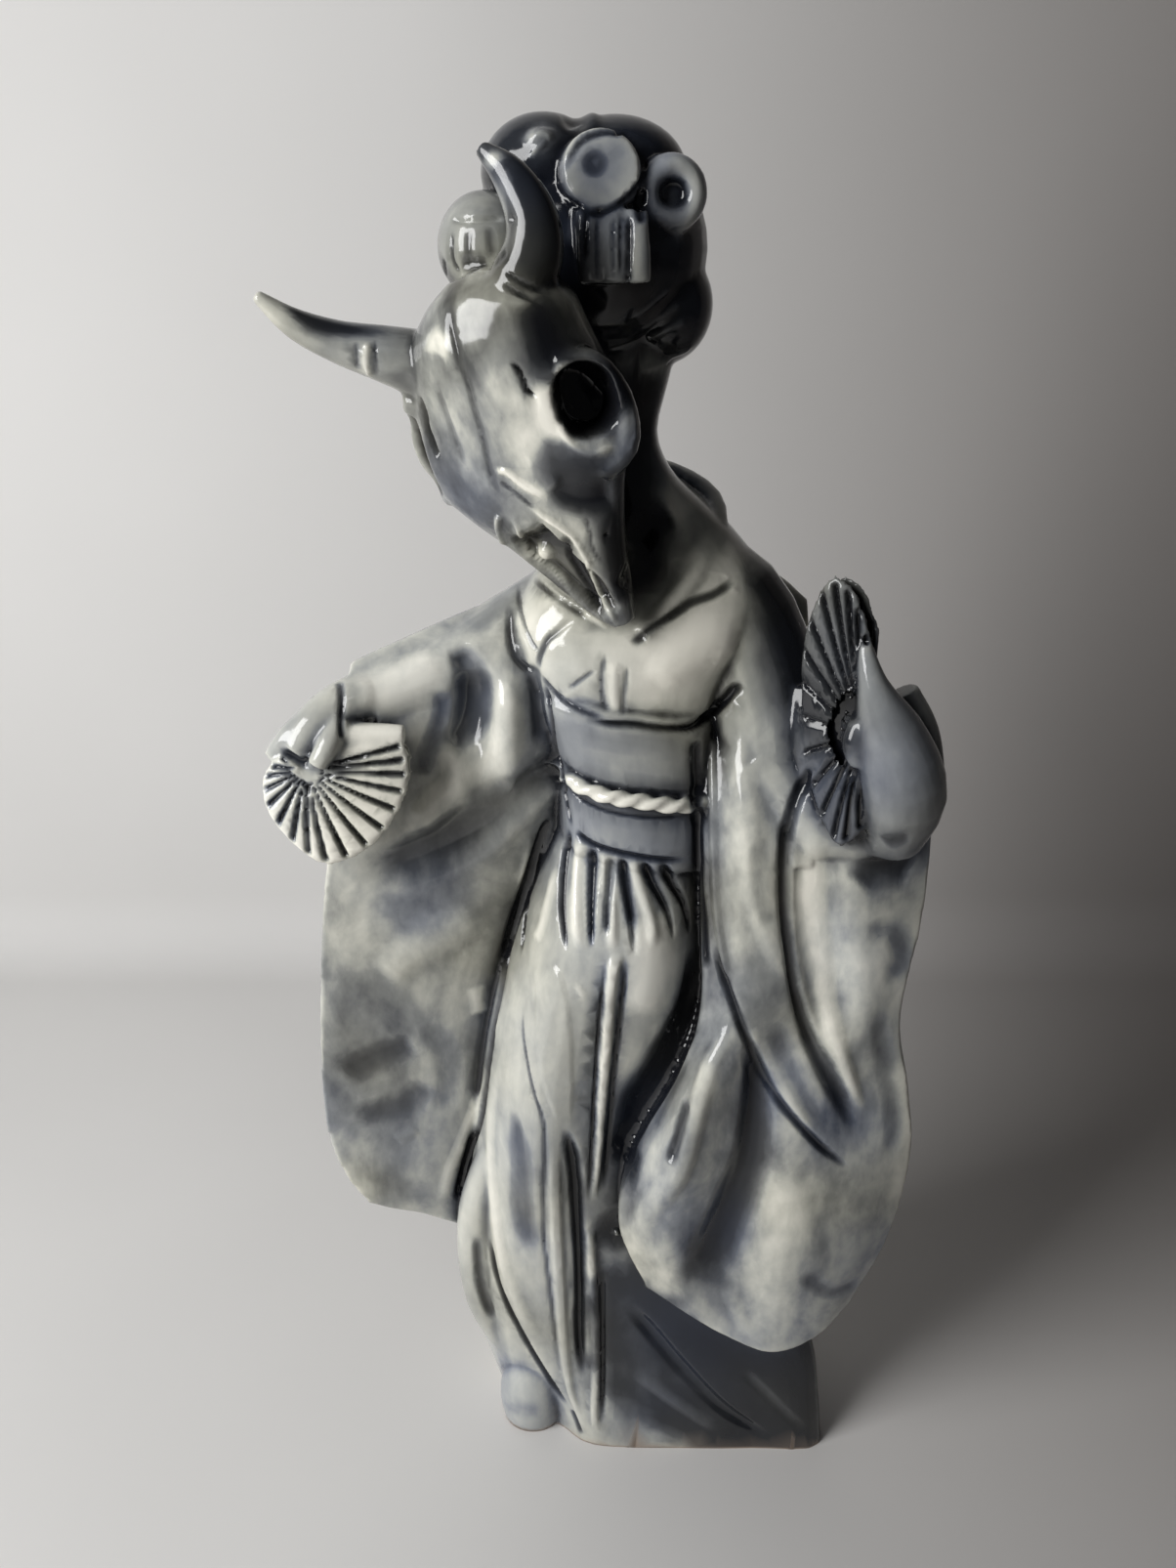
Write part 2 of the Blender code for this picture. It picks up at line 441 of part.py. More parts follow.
# Folds of the cloth: path, radius and depth, negative where the cloth stands up
FOLDS = [
    # Left sleeve: valley under the arm, its ridge, the shadow under the swag, the inner edge
    ([(-14.9, -3.7, 69.9), (-13.7, -4.3, 67.7), (-14.1, -4.1, 64.5), (-15.9, -4.8, 62.1)], 1.7, 0.7),
    ([(-11.5, -4.1, 69.4), (-11.5, -4.9, 65.2), (-15.1, -4.7, 60.0), (-18.4, -4.9, 55.7)],
     1.9, -0.4),
    ([(-7.7, -4.9, 62.3), (-11.9, -4.8, 58.3), (-18.7, -4.7, 54.3), (-23.9, -4.5, 52.1)], 2.4, 0.9),
    ([(-8.8, -2.8, 56.5), (-11.8, -3.4, 45.0), (-14.1, -4.0, 31.5), (-16.6, -4.1, 20.7)], 1.0, 0.6),
    # Right sleeve: long valley, lower fold, hollow of the bag
    ([(8.7, -7.9, 62.5), (7.4, -7.6, 57.8), (7.8, -7.9, 50.5), (10.0, -8.2, 41.8),
      (14.2, -9.0, 33.2)], 1.2, 0.7),
    ([(3.2, -7.2, 48.9), (5.7, -9.1, 41.6), (11.1, -9.7, 33.4)], 1.1, 0.5),
    ([(5.3, -9.2, 42.5), (6.2, -9.5, 32.3), (3.5, -9.9, 23.2), (2.7, -9.8, 18.1)], 2.2, 0.8),
    ([(6.3, -3.4, 72.8), (8.0, -7.2, 67.4), (8.8, -7.8, 64.1)], 1.4, 0.3),
    # Skirt: hip hollow, three hanging strips with the valley between them, foot and train
    ([(1.1, -5.8, 48.5), (-0.4, -6.6, 39.8), (-3.2, -7.8, 29.0)], 2.2, 0.5),
    ([(-7.8, -7.8, 33.6), (-6.8, -7.1, 23.5), (-6.6, -7.3, 11.2)], 1.1, 0.8),
    ([(-3.9, -7.6, 48.9), (-5.0, -7.2, 35.9), (-5.6, -6.7, 24.2)], 0.9, -0.5),
    ([(-5.7, -6.8, 22.7), (-5.3, -7.4, 10.2), (-5.3, -8.3, 1.5)], 0.9, -0.5),
    ([(-8.5, -7.9, 32.8), (-8.4, -7.4, 18.8), (-6.2, -8.0, 1.8)], 0.9, -0.4),
    ([(-13.7, -5.4, 20.9), (-11.7, -6.6, 12.1), (-7.6, -7.3, 3.2)], 0.9, 0.6),
    ([(-2.6, -7.0, 15.1), (2.0, -7.9, 8.5), (9.6, -8.6, 1.9)], 1.4, 0.6),
    # Sash edges and collar
    ([(-6.1, -6.5, 65.6), (-2.9, -6.7, 65.3), (1.0, -5.8, 64.8), (3.8, -5.3, 67.3)], 0.7, 0.5),
    ([(-6.7, -5.5, 57.0), (-2.8, -6.6, 55.6), (1.0, -5.9, 54.9)], 0.7, 0.45),
    ([(-2.7, -6.4, 71.0), (0.7, -5.3, 73.1), (3.6, -3.9, 74.4)], 0.7, 0.3),
    ([(-11.1, -0.8, 72.8), (-10.9, -4.1, 69.3), (-9.3, -5.0, 68.3)], 0.7, 0.4),
    ([(-6.7, -5.6, 72.3), (-8.6, -5.6, 70.7), (-9.3, -5.2, 68.6)], 0.6, 0.3),
]
# Pleats gathered under the sash
PLEATS = [[(-8.8, -2.7, 56.1), (-10.5, -2.2, 50.5)], [(-7.2, -5.0, 56.6), (-7.9, -5.8, 50.9)],
          [(-5.7, -6.1, 55.8), (-5.8, -6.8, 51.4)], [(-3.6, -6.5, 55.1), (-2.9, -7.2, 50.8)],
          [(-2.3, -6.5, 54.8), (-0.5, -6.4, 51.6)], [(-0.9, -6.4, 54.6), (0.8, -5.7, 51.2)]]
PLEAT_RADIUS = 0.75
PLEAT_DEPTH = 0.5
for keys, radius, depth in FOLDS:
    press(keys, radius, depth)
for keys in PLEATS:
    press(keys, PLEAT_RADIUS, PLEAT_DEPTH)

# Flat underside, with the origin in it
work = bmesh.new()
work.from_mesh(skin)
cut = bmesh.ops.bisect_plane(work, geom=work.verts[:] + work.edges[:] + work.faces[:],
                             plane_co=(0, 0, UNDERSIDE_LEVEL * UNIT), plane_no=(0, 0, 1),
                             clear_inner=True)
rim_edges = [item for item in cut["geom_cut"] if isinstance(item, bmesh.types.BMEdge)]
bmesh.ops.holes_fill(work, edges=rim_edges, sides=0)
bmesh.ops.triangulate(work, faces=work.faces[:])
bmesh.ops.translate(work, verts=work.verts[:], vec=(0, 0, -UNDERSIDE_LEVEL * UNIT))
work.to_mesh(skin)
work.free()

reduce = figurine.modifiers.new("reduce", "DECIMATE")
reduce.ratio = TRIANGLES / len(skin.polygons)
reduce.use_collapse_triangulate = True

glaze = bpy.data.materials.new("glaze")
glaze.use_nodes = True
shader = glaze.node_tree.nodes["Principled BSDF"]
shader.inputs["Base Color"].default_value = GLAZE_COLOUR
shader.inputs["Roughness"].default_value = GLAZE_ROUGHNESS
shader.inputs["Metallic"].default_value = 0.0
skin.materials.append(glaze)
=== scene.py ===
"""Looks of the glazed figurine: one fused ceramic body with its relief and its glaze.

The same forms as in the solid are fused on a finer net, finer forms are added, and
the strokes read from the picture are cast from the camera onto the skin, where they
are pressed in or raised and also colour the glaze, with its own tones and with painted
shade, painted shadows and painted highlights. Lengths are in hundredths of the
figure's nominal height, and the front is towards -Y.
"""
import math

import bmesh
import bpy
import numpy as np
from mathutils import Matrix, Vector, noise
from mathutils.bvhtree import BVHTree
from mathutils.kdtree import KDTree


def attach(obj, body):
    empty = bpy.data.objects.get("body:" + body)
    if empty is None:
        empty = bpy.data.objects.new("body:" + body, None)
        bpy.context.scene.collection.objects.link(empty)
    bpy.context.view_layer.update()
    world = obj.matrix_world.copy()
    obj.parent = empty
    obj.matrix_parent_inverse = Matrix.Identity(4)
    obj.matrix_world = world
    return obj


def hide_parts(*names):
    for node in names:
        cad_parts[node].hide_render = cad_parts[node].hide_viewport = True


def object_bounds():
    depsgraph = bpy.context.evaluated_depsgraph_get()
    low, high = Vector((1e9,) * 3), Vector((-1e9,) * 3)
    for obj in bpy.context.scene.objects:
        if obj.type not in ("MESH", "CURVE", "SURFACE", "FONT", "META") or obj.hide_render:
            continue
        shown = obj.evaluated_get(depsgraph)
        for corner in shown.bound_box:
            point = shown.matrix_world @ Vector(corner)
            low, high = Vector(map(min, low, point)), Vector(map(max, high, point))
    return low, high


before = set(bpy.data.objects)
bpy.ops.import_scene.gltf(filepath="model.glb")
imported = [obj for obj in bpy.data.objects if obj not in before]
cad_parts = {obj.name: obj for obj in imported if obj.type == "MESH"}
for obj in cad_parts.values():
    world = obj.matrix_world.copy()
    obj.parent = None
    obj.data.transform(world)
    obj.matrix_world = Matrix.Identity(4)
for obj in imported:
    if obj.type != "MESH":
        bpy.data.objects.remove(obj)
cad_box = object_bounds()

FIGURE_HEIGHT = 0.320
UNIT = FIGURE_HEIGHT / 100
VOXEL = 0.18 * UNIT
TRIANGLES = 195000
UNDERSIDE_LEVEL = 0.25

# The camera of the picture, in units, with its pitch and its focal length in pixels
PICTURE_WIDTH = 1204
PICTURE_HEIGHT = 1605
FOCAL_PIXELS = 1206.0
SENSOR_WIDTH = 36.0
CAMERA_PLACE = np.array((-6.0, -79.2, 91.6))
CAMERA_PITCH = math.radians(23.0)

forms = bmesh.new()
regions = []


def region(name):
    """The forms added from here on belong to this region of the glaze."""
    regions.append((name, len(forms.faces)))


def smooth_path(keys, count, closed=False):
    """Evenly parametrised Catmull-Rom curve through the key points."""
    keys = np.asarray(keys, float)
    total = len(keys)
    spans = total if closed else total - 1
    steps = np.arange(count) / count * spans if closed else np.linspace(0, spans, count)
    result = np.empty((count,) + keys.shape[1:])
    for row, step in enumerate(steps):
        low = min(int(step), spans - 1)
        t = step - low
        if closed:
            a, b, c, d = [keys[(low + shift) % total] for shift in (-1, 0, 1, 2)]
        else:
            b, c = keys[low], keys[low + 1]
            a = keys[low - 1] if low > 0 else 2 * b - c
            d = keys[low + 2] if low + 2 < total else 2 * c - b
        result[row] = 0.5 * (2 * b + (c - a) * t + (2 * a - 5 * b + 4 * c - d) * t * t
                             + (3 * b - a - 3 * c + d) * t ** 3)
    return result


def smooth_values(values, count):
    return smooth_path(np.asarray(values, float)[:, None], count)[:, 0]


def unit_vector(vector):
    vector = np.asarray(vector, float)
    return vector / max(np.linalg.norm(vector), 1e-9)


def add_loft(rings):
    """Closed skin through a stack of rings with the same number of points."""
    loops = [[forms.verts.new(point) for point in ring] for ring in rings]
    for lower, upper in zip(loops[:-1], loops[1:]):
        for step in range(len(lower)):
            after = (step + 1) % len(lower)
            forms.faces.new((lower[step], lower[after], upper[after], upper[step]))
    forms.faces.new(loops[0][::-1])
    forms.faces.new(loops[-1])


def add_tube(keys, radii, flat=1.0, up=(0, 0, 1), count=14, around=24):
    """Tapered bar along a smooth path; flat squeezes it along up."""
    path = smooth_path(keys, count)
    sizes = smooth_values(radii, count)
    angles = np.linspace(0, 2 * math.pi, around, endpoint=False)[:, None]
    rings = []
    top = np.asarray(up, float)
    for place in range(count):
        ahead = unit_vector(path[min(place + 1, count - 1)] - path[max(place - 1, 0)])
        if place == 0 and abs(ahead @ top) > 0.9:
            top = np.array((1.0, 0.0, 0.0))
        side = unit_vector(np.cross(ahead, top))
        top = np.cross(side, ahead)
        rings.append(path[place] + sizes[place] * (np.cos(angles) * side
                                                   + flat * np.sin(angles) * top))
    add_loft(rings)


def add_ball(centre, radii, turn=0.0):
    """Ellipsoid, turned about the vertical by turn degrees."""
    place = (Matrix.Translation(centre) @ Matrix.Rotation(math.radians(turn), 4, "Z")
             @ Matrix.Diagonal((*radii, 1.0)))
    bmesh.ops.create_uvsphere(forms, u_segments=32, v_segments=18, radius=1, matrix=place)


def level_ring(height, keys, tilt=0.0):
    """Level ring through plan points; tilt drops it per unit towards +X."""
    plan = smooth_path(keys, 48, closed=True)
    lift = height - tilt * (plan[:, 0] - plan[:, 0].mean())
    return np.column_stack([plan, lift])


def oval_keys(left, right, front, back, fullness=0.78):
    """Eight plan points of a rounded-square oval."""
    centre = np.array([(left + right) / 2, (front + back) / 2])
    half = np.array([(right - left) / 2, (back - front) / 2])
    near = fullness
    compass = [(1, 0), (near, -near), (0, -1), (-near, -near),
               (-1, 0), (-near, near), (0, 1), (near, near)]
    return [centre + half * np.array(way) for way in compass]


def add_drape(rows, depths, across=26, down=44, edge=0.9):
    """Hanging cloth bag: rows of front points, each row with its depths behind."""
    share = np.linspace(0, 1, across)
    taper = np.clip(np.minimum(share, 1 - share) / 0.16, 0, 1)
    taper = np.sqrt(1 - (1 - taper) ** 2)
    rings = []
    for row, depth in zip(rows, depths):
        front = smooth_path(row, across)
        thickness = edge + (smooth_values(depth, across) - edge) * taper
        back = front + np.outer(thickness, (0, 1, 0))
        rings.append(np.concatenate([front, back[::-1]]))
    rings = smooth_path(rings, down)
    ends = []
    for last, before in ((rings[0], rings[1]), (rings[-1], rings[-2])):
        middle = (last + last[::-1]) / 2
        away = edge / 2 * unit_vector((last - before).mean(axis=0))
        ends.append(middle + (last - middle) * 0.45 + away)
    add_loft([ends[0], *rings, ends[1]])


def add_fan(pivot, rim, facing, thickness, bulge):
    """Open fan: a gently domed plate between the pivot and a smooth rim."""
    facing = unit_vector(facing)
    spokes = smooth_path(rim, 28) - pivot
    rings = []
    for share in (0.06, 0.3, 0.55, 0.8, 0.95, 1.0):
        middle = pivot + spokes * share + facing * bulge * math.sin(math.pi * min(share, 0.95))
        half = facing * thickness / 2 * (0.45 if share == 1.0 else 1.0)
        rings.append(np.concatenate([middle + half, (middle - half)[::-1]]))
    add_loft(rings)


# Skirt: plan outlines from the hem up, each starting at the right front corner
region("skirt")
SKIRT = [
    (0.0, [(13.9, -8.2), (8, -8.7), (2, -8.7), (-5.4, -8.4), (-8.4, -6.4), (-12.0, -4.6),
           (-13.4, -1.0), (-11.5, 5.0), (-5.0, 8.6), (3.0, 8.6), (9.0, 5.5), (12.8, -2.0)]),
    (5.0, [(13.4, -7.8), (8, -8.3), (2, -8.2), (-5.4, -7.9), (-8.8, -6.8), (-13.0, -5.0),
           (-14.8, -1.2), (-12.2, 5.0), (-5.0, 8.4), (3.0, 8.4), (8.8, 5.0), (12.4, -2.0)]),
    (11.0, [(12.4, -7.2), (7, -7.7), (1.5, -7.6), (-5.3, -7.3), (-9.2, -7.3), (-13.9, -5.4),
            (-16.2, -1.5), (-12.8, 4.8), (-5.0, 8.0), (3.0, 8.0), (8.0, 4.5), (11.2, -2.0)]),
    (20.0, [(8.6, -6.0), (4.8, -6.6), (-0.6, -6.4), (-5.2, -6.7), (-9.9, -7.5), (-14.0, -5.2),
            (-16.2, -1.5), (-12.6, 4.6), (-5.5, 7.6), (1.5, 7.4), (5.6, 4.0), (7.6, -1.0)]),
    (30.0, [(4.4, -5.0), (2.0, -5.6), (-1.6, -5.8), (-5.0, -6.7), (-10.0, -7.8), (-13.6, -4.9),
            (-14.9, -1.5), (-12.0, 4.5), (-5.5, 7.4), (0.0, 7.0), (2.8, 3.5), (4.0, -1.0)]),
    (40.0, [(3.2, -3.0), (1.4, -5.6), (-1.5, -7.0), (-4.5, -7.5), (-9.2, -8.0), (-12.4, -4.8),
            (-13.4, -1.0), (-11.0, 4.5), (-5.0, 7.2), (0.0, 6.6), (2.6, 3.0), (3.3, -0.5)]),
    (48.0, [(3.3, -2.5), (1.6, -5.4), (-1.0, -7.2), (-3.8, -7.7), (-7.6, -7.2), (-10.4, -4.2),
            (-11.3, -1.0), (-9.3, 4.0), (-4.5, 6.4), (-0.5, 5.9), (2.2, 2.8), (3.3, 0.0)]),
    (55.0, [(3.0, -1.8), (1.8, -4.2), (-0.4, -5.6), (-3.0, -6.1), (-5.8, -5.5), (-7.9, -3.6),
            (-8.6, -1.0), (-7.2, 3.0), (-3.6, 4.9), (-0.2, 4.6), (2.0, 2.4), (2.9, 0.2)]),
    (58.0, [(2.8, -1.6), (1.8, -3.9), (-0.4, -5.2), (-3.0, -5.6), (-5.6, -5.0), (-7.6, -3.4),
            (-8.2, -1.0), (-7.0, 2.8), (-3.6, 4.6), (-0.2, 4.3), (1.9, 2.2), (2.7, 0.2)]),
]
add_loft(smooth_path([level_ring(height, keys) for height, keys in SKIRT], 48))

# Sash and its folded edges, tilted down to the viewer's right
region("sash")
SASH_TILT = 0.17
SASH = [(54.4, -7.9, 2.9, -6.3, 4.9), (55.2, -8.2, 3.1, -6.6, 5.1), (57.5, -8.3, 3.2, -6.5, 5.1),
        (60.0, -8.5, 3.2, -6.3, 5.1), (63.0, -9.2, 3.1, -6.5, 5.1), (65.0, -9.8, 3.1, -6.8, 5.1),
        (65.9, -9.6, 2.9, -6.5, 4.9)]
add_loft(smooth_path([level_ring(row[0], oval_keys(*row[1:]), SASH_TILT) for row in SASH], 16))

# Chest, shoulders and neck
region("chest")
CHEST = [(63.0, -9.0, 2.8, -5.8, 4.6), (66.0, -9.9, 3.4, -6.1, 4.9), (69.0, -10.9, 4.6, -6.7, 5.1),
         (71.5, -11.2, 5.8, -6.3, 5.3), (74.0, -9.6, 5.8, -5.0, 5.2), (76.5, -7.6, 4.0, -3.8, 4.6),
         (78.6, -6.6, 1.8, -3.0, 4.0), (80.5, -6.4, -0.4, -2.6, 3.4), (83.0, -6.9, -1.5, -2.6, 3.0),
         (86.0, -7.0, -0.9, -2.8, 3.2), (89.0, -7.2, -0.2, -3.0, 3.4)]
add_loft(smooth_path([level_ring(row[0], oval_keys(*row[1:])) for row in CHEST], 32))

# Collar band standing behind the neck
region("collar")
add_tube([(-6.8, -3.4, 75.6), (-6.6, 1.5, 78.6), (-2.4, 4.4, 80.0), (2.2, 1.6, 78.4),
          (1.4, -3.4, 75.2), (-2.6, -6.2, 71.2)], (0.7, 0.9, 1.0, 0.9, 0.8, 0.6), count=26)

# Upper arms inside the sleeves
region("arms")
add_tube([(-5.5, 0.6, 71.4), (-10.5, -0.2, 69.2), (-15.5, -1.8, 67.2), (-20.8, -4.2, 66.0)],
         (4.2, 3.6, 3.0, 2.2))
add_tube([(-0.5, 0.4, 73.4), (3.6, -0.4, 71.0), (5.9, -1.8, 66.0), (6.8, -3.0, 60.5),
          (7.6, -4.2, 54.5)], (4.4, 4.4, 4.2, 4.1, 3.6))
add_tube([(5.8, -3.2, 62.0), (8.6, -4.4, 59.0), (12.4, -5.6, 58.0), (15.0, -6.4, 58.4)],
         (3.6, 3.6, 3.2, 2.6))

# Viewer's left sleeve, rows from the shoulder to the hem
region("left_sleeve")
LEFT_SLEEVE = [
    [(-7.6, -0.6, 73.2), (-11.4, -1.0, 71.9), (-15.6, -2.2, 70.5), (-19.0, -3.6, 69.3),
     (-21.8, -4.6, 68.3)],
    [(-7.4, -2.8, 71.6), (-11.4, -3.6, 70.4), (-15.4, -4.4, 69.0), (-19.0, -5.2, 67.9),
     (-22.1, -5.7, 67.0)],
    [(-7.4, -3.4, 66.8), (-11.0, -5.0, 65.4), (-14.4, -4.6, 64.8), (-19.0, -5.6, 64.9),
     (-22.6, -5.8, 64.2)],
    [(-6.6, -2.4, 59.8), (-11.0, -4.8, 59.4), (-15.4, -4.6, 57.4), (-19.8, -5.2, 56.2),
     (-24.0, -5.0, 56.6)],
    [(-7.6, -1.2, 53.0), (-12.8, -3.2, 51.6), (-17.4, -3.8, 50.4), (-21.2, -4.2, 49.9),
     (-25.2, -4.4, 50.1)],
    [(-10.6, -1.0, 43.0), (-15.6, -2.7, 41.4), (-19.6, -3.4, 40.0), (-23.3, -3.8, 39.4),
     (-26.4, -4.0, 39.6)],
    [(-13.4, -1.2, 30.8), (-17.6, -2.7, 29.5), (-21.1, -3.3, 28.9), (-24.4, -3.7, 29.0),
     (-26.7, -4.0, 30.4)],
    [(-15.2, -1.6, 23.6), (-18.2, -2.7, 23.2), (-20.8, -3.2, 23.4), (-23.5, -3.5, 24.0),
     (-25.6, -3.7, 25.2)],
    [(-16.6, -1.9, 18.4), (-18.2, -2.4, 19.5), (-20.0, -2.8, 20.6), (-22.4, -3.1, 21.4),
     (-24.2, -3.4, 22.4)],
]
LEFT_DEPTHS = [(2.0, 2.0, 1.8, 1.6, 1.2), (5.4, 5.6, 5.0, 4.0, 2.6), (6.0, 6.4, 5.6, 4.4, 2.6),
               (5.5, 6.6, 5.6, 4.6, 2.4), (5.0, 6.0, 5.2, 4.4, 2.2), (4.4, 5.4, 4.8, 4.0, 2.0),
               (4.0, 4.6, 4.2, 3.4, 1.8), (3.6, 4.0, 3.4, 2.8, 1.6), (2.4, 2.4, 2.2, 2.0, 1.4)]
add_drape(LEFT_SLEEVE, LEFT_DEPTHS, down=50)

# Viewer's right sleeve, rows from the elbow to the hem
region("right_sleeve")
RIGHT_SLEEVE = [
    [(2.6, -2.6, 66.4), (4.8, -4.4, 66.4), (7.6, -4.6, 65.0), (10.4, -5.0, 63.8), (13.4, -5.6, 63.2),
     (16.4, -5.8, 62.8)],
    [(1.8, -4.6, 61.4), (4.4, -6.3, 62.2), (7.4, -6.6, 61.6), (10.2, -6.4, 60.6), (13.2, -7.0, 60.2),
     (17.2, -6.2, 60.0)],
    [(1.8, -5.9, 56.0), (4.1, -7.4, 57.6), (6.8, -7.7, 57.6), (9.3, -7.0, 56.9), (12.4, -8.0, 56.8),
     (17.5, -6.6, 56.6)],
    [(2.1, -6.4, 49.0), (4.6, -7.9, 51.0), (7.2, -8.1, 50.8), (9.8, -7.1, 49.8), (12.8, -8.2, 50.5),
     (17.4, -7.0, 50.4)],
    [(2.1, -7.2, 43.0), (4.6, -8.7, 45.0), (7.9, -8.5, 44.2), (11.0, -7.6, 43.6), (13.6, -8.4, 43.8),
     (16.6, -7.5, 43.0)],
    [(0.4, -7.8, 37.6), (2.7, -10.0, 39.4), (5.9, -9.0, 38.2), (9.4, -9.2, 38.0),
     (13.4, -8.4, 37.0), (17.7, -7.8, 37.2)],
    [(-2.8, -7.6, 30.6), (0.4, -10.6, 32.0), (5.1, -9.5, 30.4), (9.5, -10.2, 31.0),
     (14.2, -9.4, 31.0), (18.5, -8.0, 31.0)],
    [(-3.6, -8.4, 24.4), (-0.1, -10.6, 24.6), (4.7, -9.7, 22.2), (9.2, -10.8, 22.9),
     (13.9, -9.9, 22.9), (17.5, -8.2, 23.2)],
    [(-1.5, -8.8, 18.8), (1.5, -9.3, 16.6), (5.1, -9.7, 14.3), (8.8, -10.2, 13.1),
     (12.3, -9.9, 14.6), (15.0, -8.9, 17.4)],
]
RIGHT_DEPTHS = [(2.0, 3.0, 3.0, 3.0, 3.0, 1.6), (3.6, 6.0, 6.4, 6.0, 5.0, 2.4),
                (4.0, 6.8, 7.0, 6.2, 5.6, 2.6), (4.0, 7.2, 7.2, 6.2, 5.4, 2.6),
                (3.6, 7.4, 7.0, 6.2, 5.2, 2.4), (3.4, 7.8, 6.8, 6.8, 5.2, 2.2),
                (3.4, 7.8, 6.8, 7.0, 5.4, 2.2), (3.0, 6.4, 5.6, 5.8, 4.6, 2.0),
                (1.8, 2.4, 2.6, 2.8, 2.4, 1.8)]
add_drape(RIGHT_SLEEVE, RIGHT_DEPTHS, across=30)

# Rolled hem over the foot and the drape hanging left of the skirt
region("hem")
add_ball((-10.9, -5.0, 2.6), (2.8, 2.4, 5.0), turn=-12)
add_tube([(-13.0, -3.4, 29.0), (-15.0, -3.2, 21.0), (-14.8, -3.8, 13.0), (-12.8, -4.4, 6.8)],
         (1.4, 1.8, 1.7, 0.9))

# Sash cord, twisted from two strands
region("cord")
CORD_RADIUS = 0.62
STRAND_RADIUS = 0.38
CORD_TURNS = 5.5
CORD_STEPS = 90
CORD = [(-8.9, -1.2, 61.6), (-7.6, -4.8, 60.9), (-5.2, -6.6, 60.3), (-2.6, -6.9, 59.9),
        (0.2, -6.5, 59.4), (2.6, -4.6, 59.0), (3.6, -1.0, 58.8)]
cord_path = smooth_path(CORD, CORD_STEPS)
for strand in (0, math.pi):
    twisted = []
    for step, spot in enumerate(cord_path):
        ahead = unit_vector(cord_path[min(step + 1, CORD_STEPS - 1)] - cord_path[max(step - 1, 0)])
        side = unit_vector(np.cross(ahead, (0, 0, 1)))
        angle = strand + 2 * math.pi * CORD_TURNS * step / CORD_STEPS
        around = math.cos(angle) * side + math.sin(angle) * np.cross(side, ahead)
        twisted.append(spot + (CORD_RADIUS - STRAND_RADIUS) * around)
    add_tube(twisted, [STRAND_RADIUS, STRAND_RADIUS], count=180, around=14)

# Bow of the sash on the back
region("bow")
add_ball((-2.8, 6.2, 66.0), (2.4, 2.6, 3.0))
add_tube([(-2.8, 5.8, 66.0), (2.8, 6.2, 68.2), (7.4, 6.0, 69.2), (10.2, 5.6, 69.6)],
         (2.0, 4.0, 3.6, 1.0), flat=0.55, up=(0, 1, 0))
add_tube([(-2.8, 5.8, 66.0), (-7.4, 6.0, 67.6), (-10.8, 5.6, 68.2), (-13.0, 5.0, 68.2)],
         (2.0, 3.8, 3.2, 1.0), flat=0.55, up=(0, 1, 0))
add_tube([(-4.0, 5.4, 65.0), (-5.2, 5.8, 56.0), (-6.2, 7.0, 48.0), (-6.4, 7.4, 45.0)],
         (2.2, 2.9, 3.2, 2.6), flat=0.5, up=(0, 1, 0))
add_tube([(-1.2, 5.4, 65.0), (-0.6, 5.8, 56.0), (0.2, 6.8, 50.0), (0.4, 7.0, 47.0)],
         (2.0, 2.7, 3.0, 2.4), flat=0.5, up=(0, 1, 0))

# Hair: main mass, crown rolls, nape roll, side lobe and back bun
region("hair")
add_ball((-6.0, 0.6, 93.8), (7.4, 7.2, 6.6))
add_ball((-1.4, 0.2, 90.6), (3.2, 4.0, 3.5))
add_ball((-8.6, -1.6, 97.8), (3.7, 3.8, 3.2), turn=20)
add_ball((-4.4, -0.4, 97.9), (4.3, 4.4, 3.1), turn=-15)
add_ball((-6.6, -1.2, 98.2), (3.2, 3.4, 2.9))
add_ball((-4.8, 6.4, 93.6), (4.4, 3.6, 4.4))
add_ball((-11.9, -4.4, 93.8), (2.8, 3.2, 3.0), turn=15)

# Hair ornaments: flower and small flower
region("flower")
FLOWER = np.array((-5.3, -5.4, 97.5))
FLOWER_FACING = np.array((0.05, -0.95, 0.3))
add_tube([FLOWER - 1.6 * FLOWER_FACING, FLOWER, FLOWER + 0.9 * FLOWER_FACING],
         (2.2, 2.35, 2.1), count=8)
add_ball((-8.5, -4.5, 99.1), (1.1, 0.8, 0.8), turn=20)

# Ribbon loop and hanging strips
region("ribbons")
LOOP = np.array((-1.3, -4.4, 96.6))
LOOP_STEPS = 13
turns = np.linspace(0, 2 * math.pi, LOOP_STEPS)
loop_path = LOOP + np.column_stack([1.4 * np.cos(turns), 0.3 * np.cos(turns),
                                    1.35 * np.sin(turns)])
add_tube(loop_path, [0.75] * LOOP_STEPS, flat=1.3, up=(0, 1, 0), count=26)
add_ball(LOOP + (0, 0.6, 0), (1.3, 0.9, 1.3))
for shift in (0.0, 1.3, 2.6):
    add_tube([(-6.0 + shift, -6.4, 95.6), (-5.9 + shift, -7.0, 93.6),
              (-5.8 + shift, -6.9, 91.9)], (0.75, 0.8, 0.8), flat=0.75, up=(0, 1, 0), count=8)

# Skull frame: along from crown to muzzle, across, and out of the face
region("skull")
SKULL_START = np.array((-14.2, -10.7, 91.2))
SKULL_ALONG = unit_vector((0.384, 0.103, -0.918))
SKULL_ACROSS = np.array((0.845, -0.441, 0.304))
SKULL_ACROSS = unit_vector(SKULL_ACROSS - SKULL_ALONG * SKULL_ACROSS.dot(SKULL_ALONG))
SKULL_OUT = np.cross(SKULL_ALONG, SKULL_ACROSS)


def skull_point(along, across, out):
    return SKULL_START + along * SKULL_ALONG + across * SKULL_ACROSS + out * SKULL_OUT


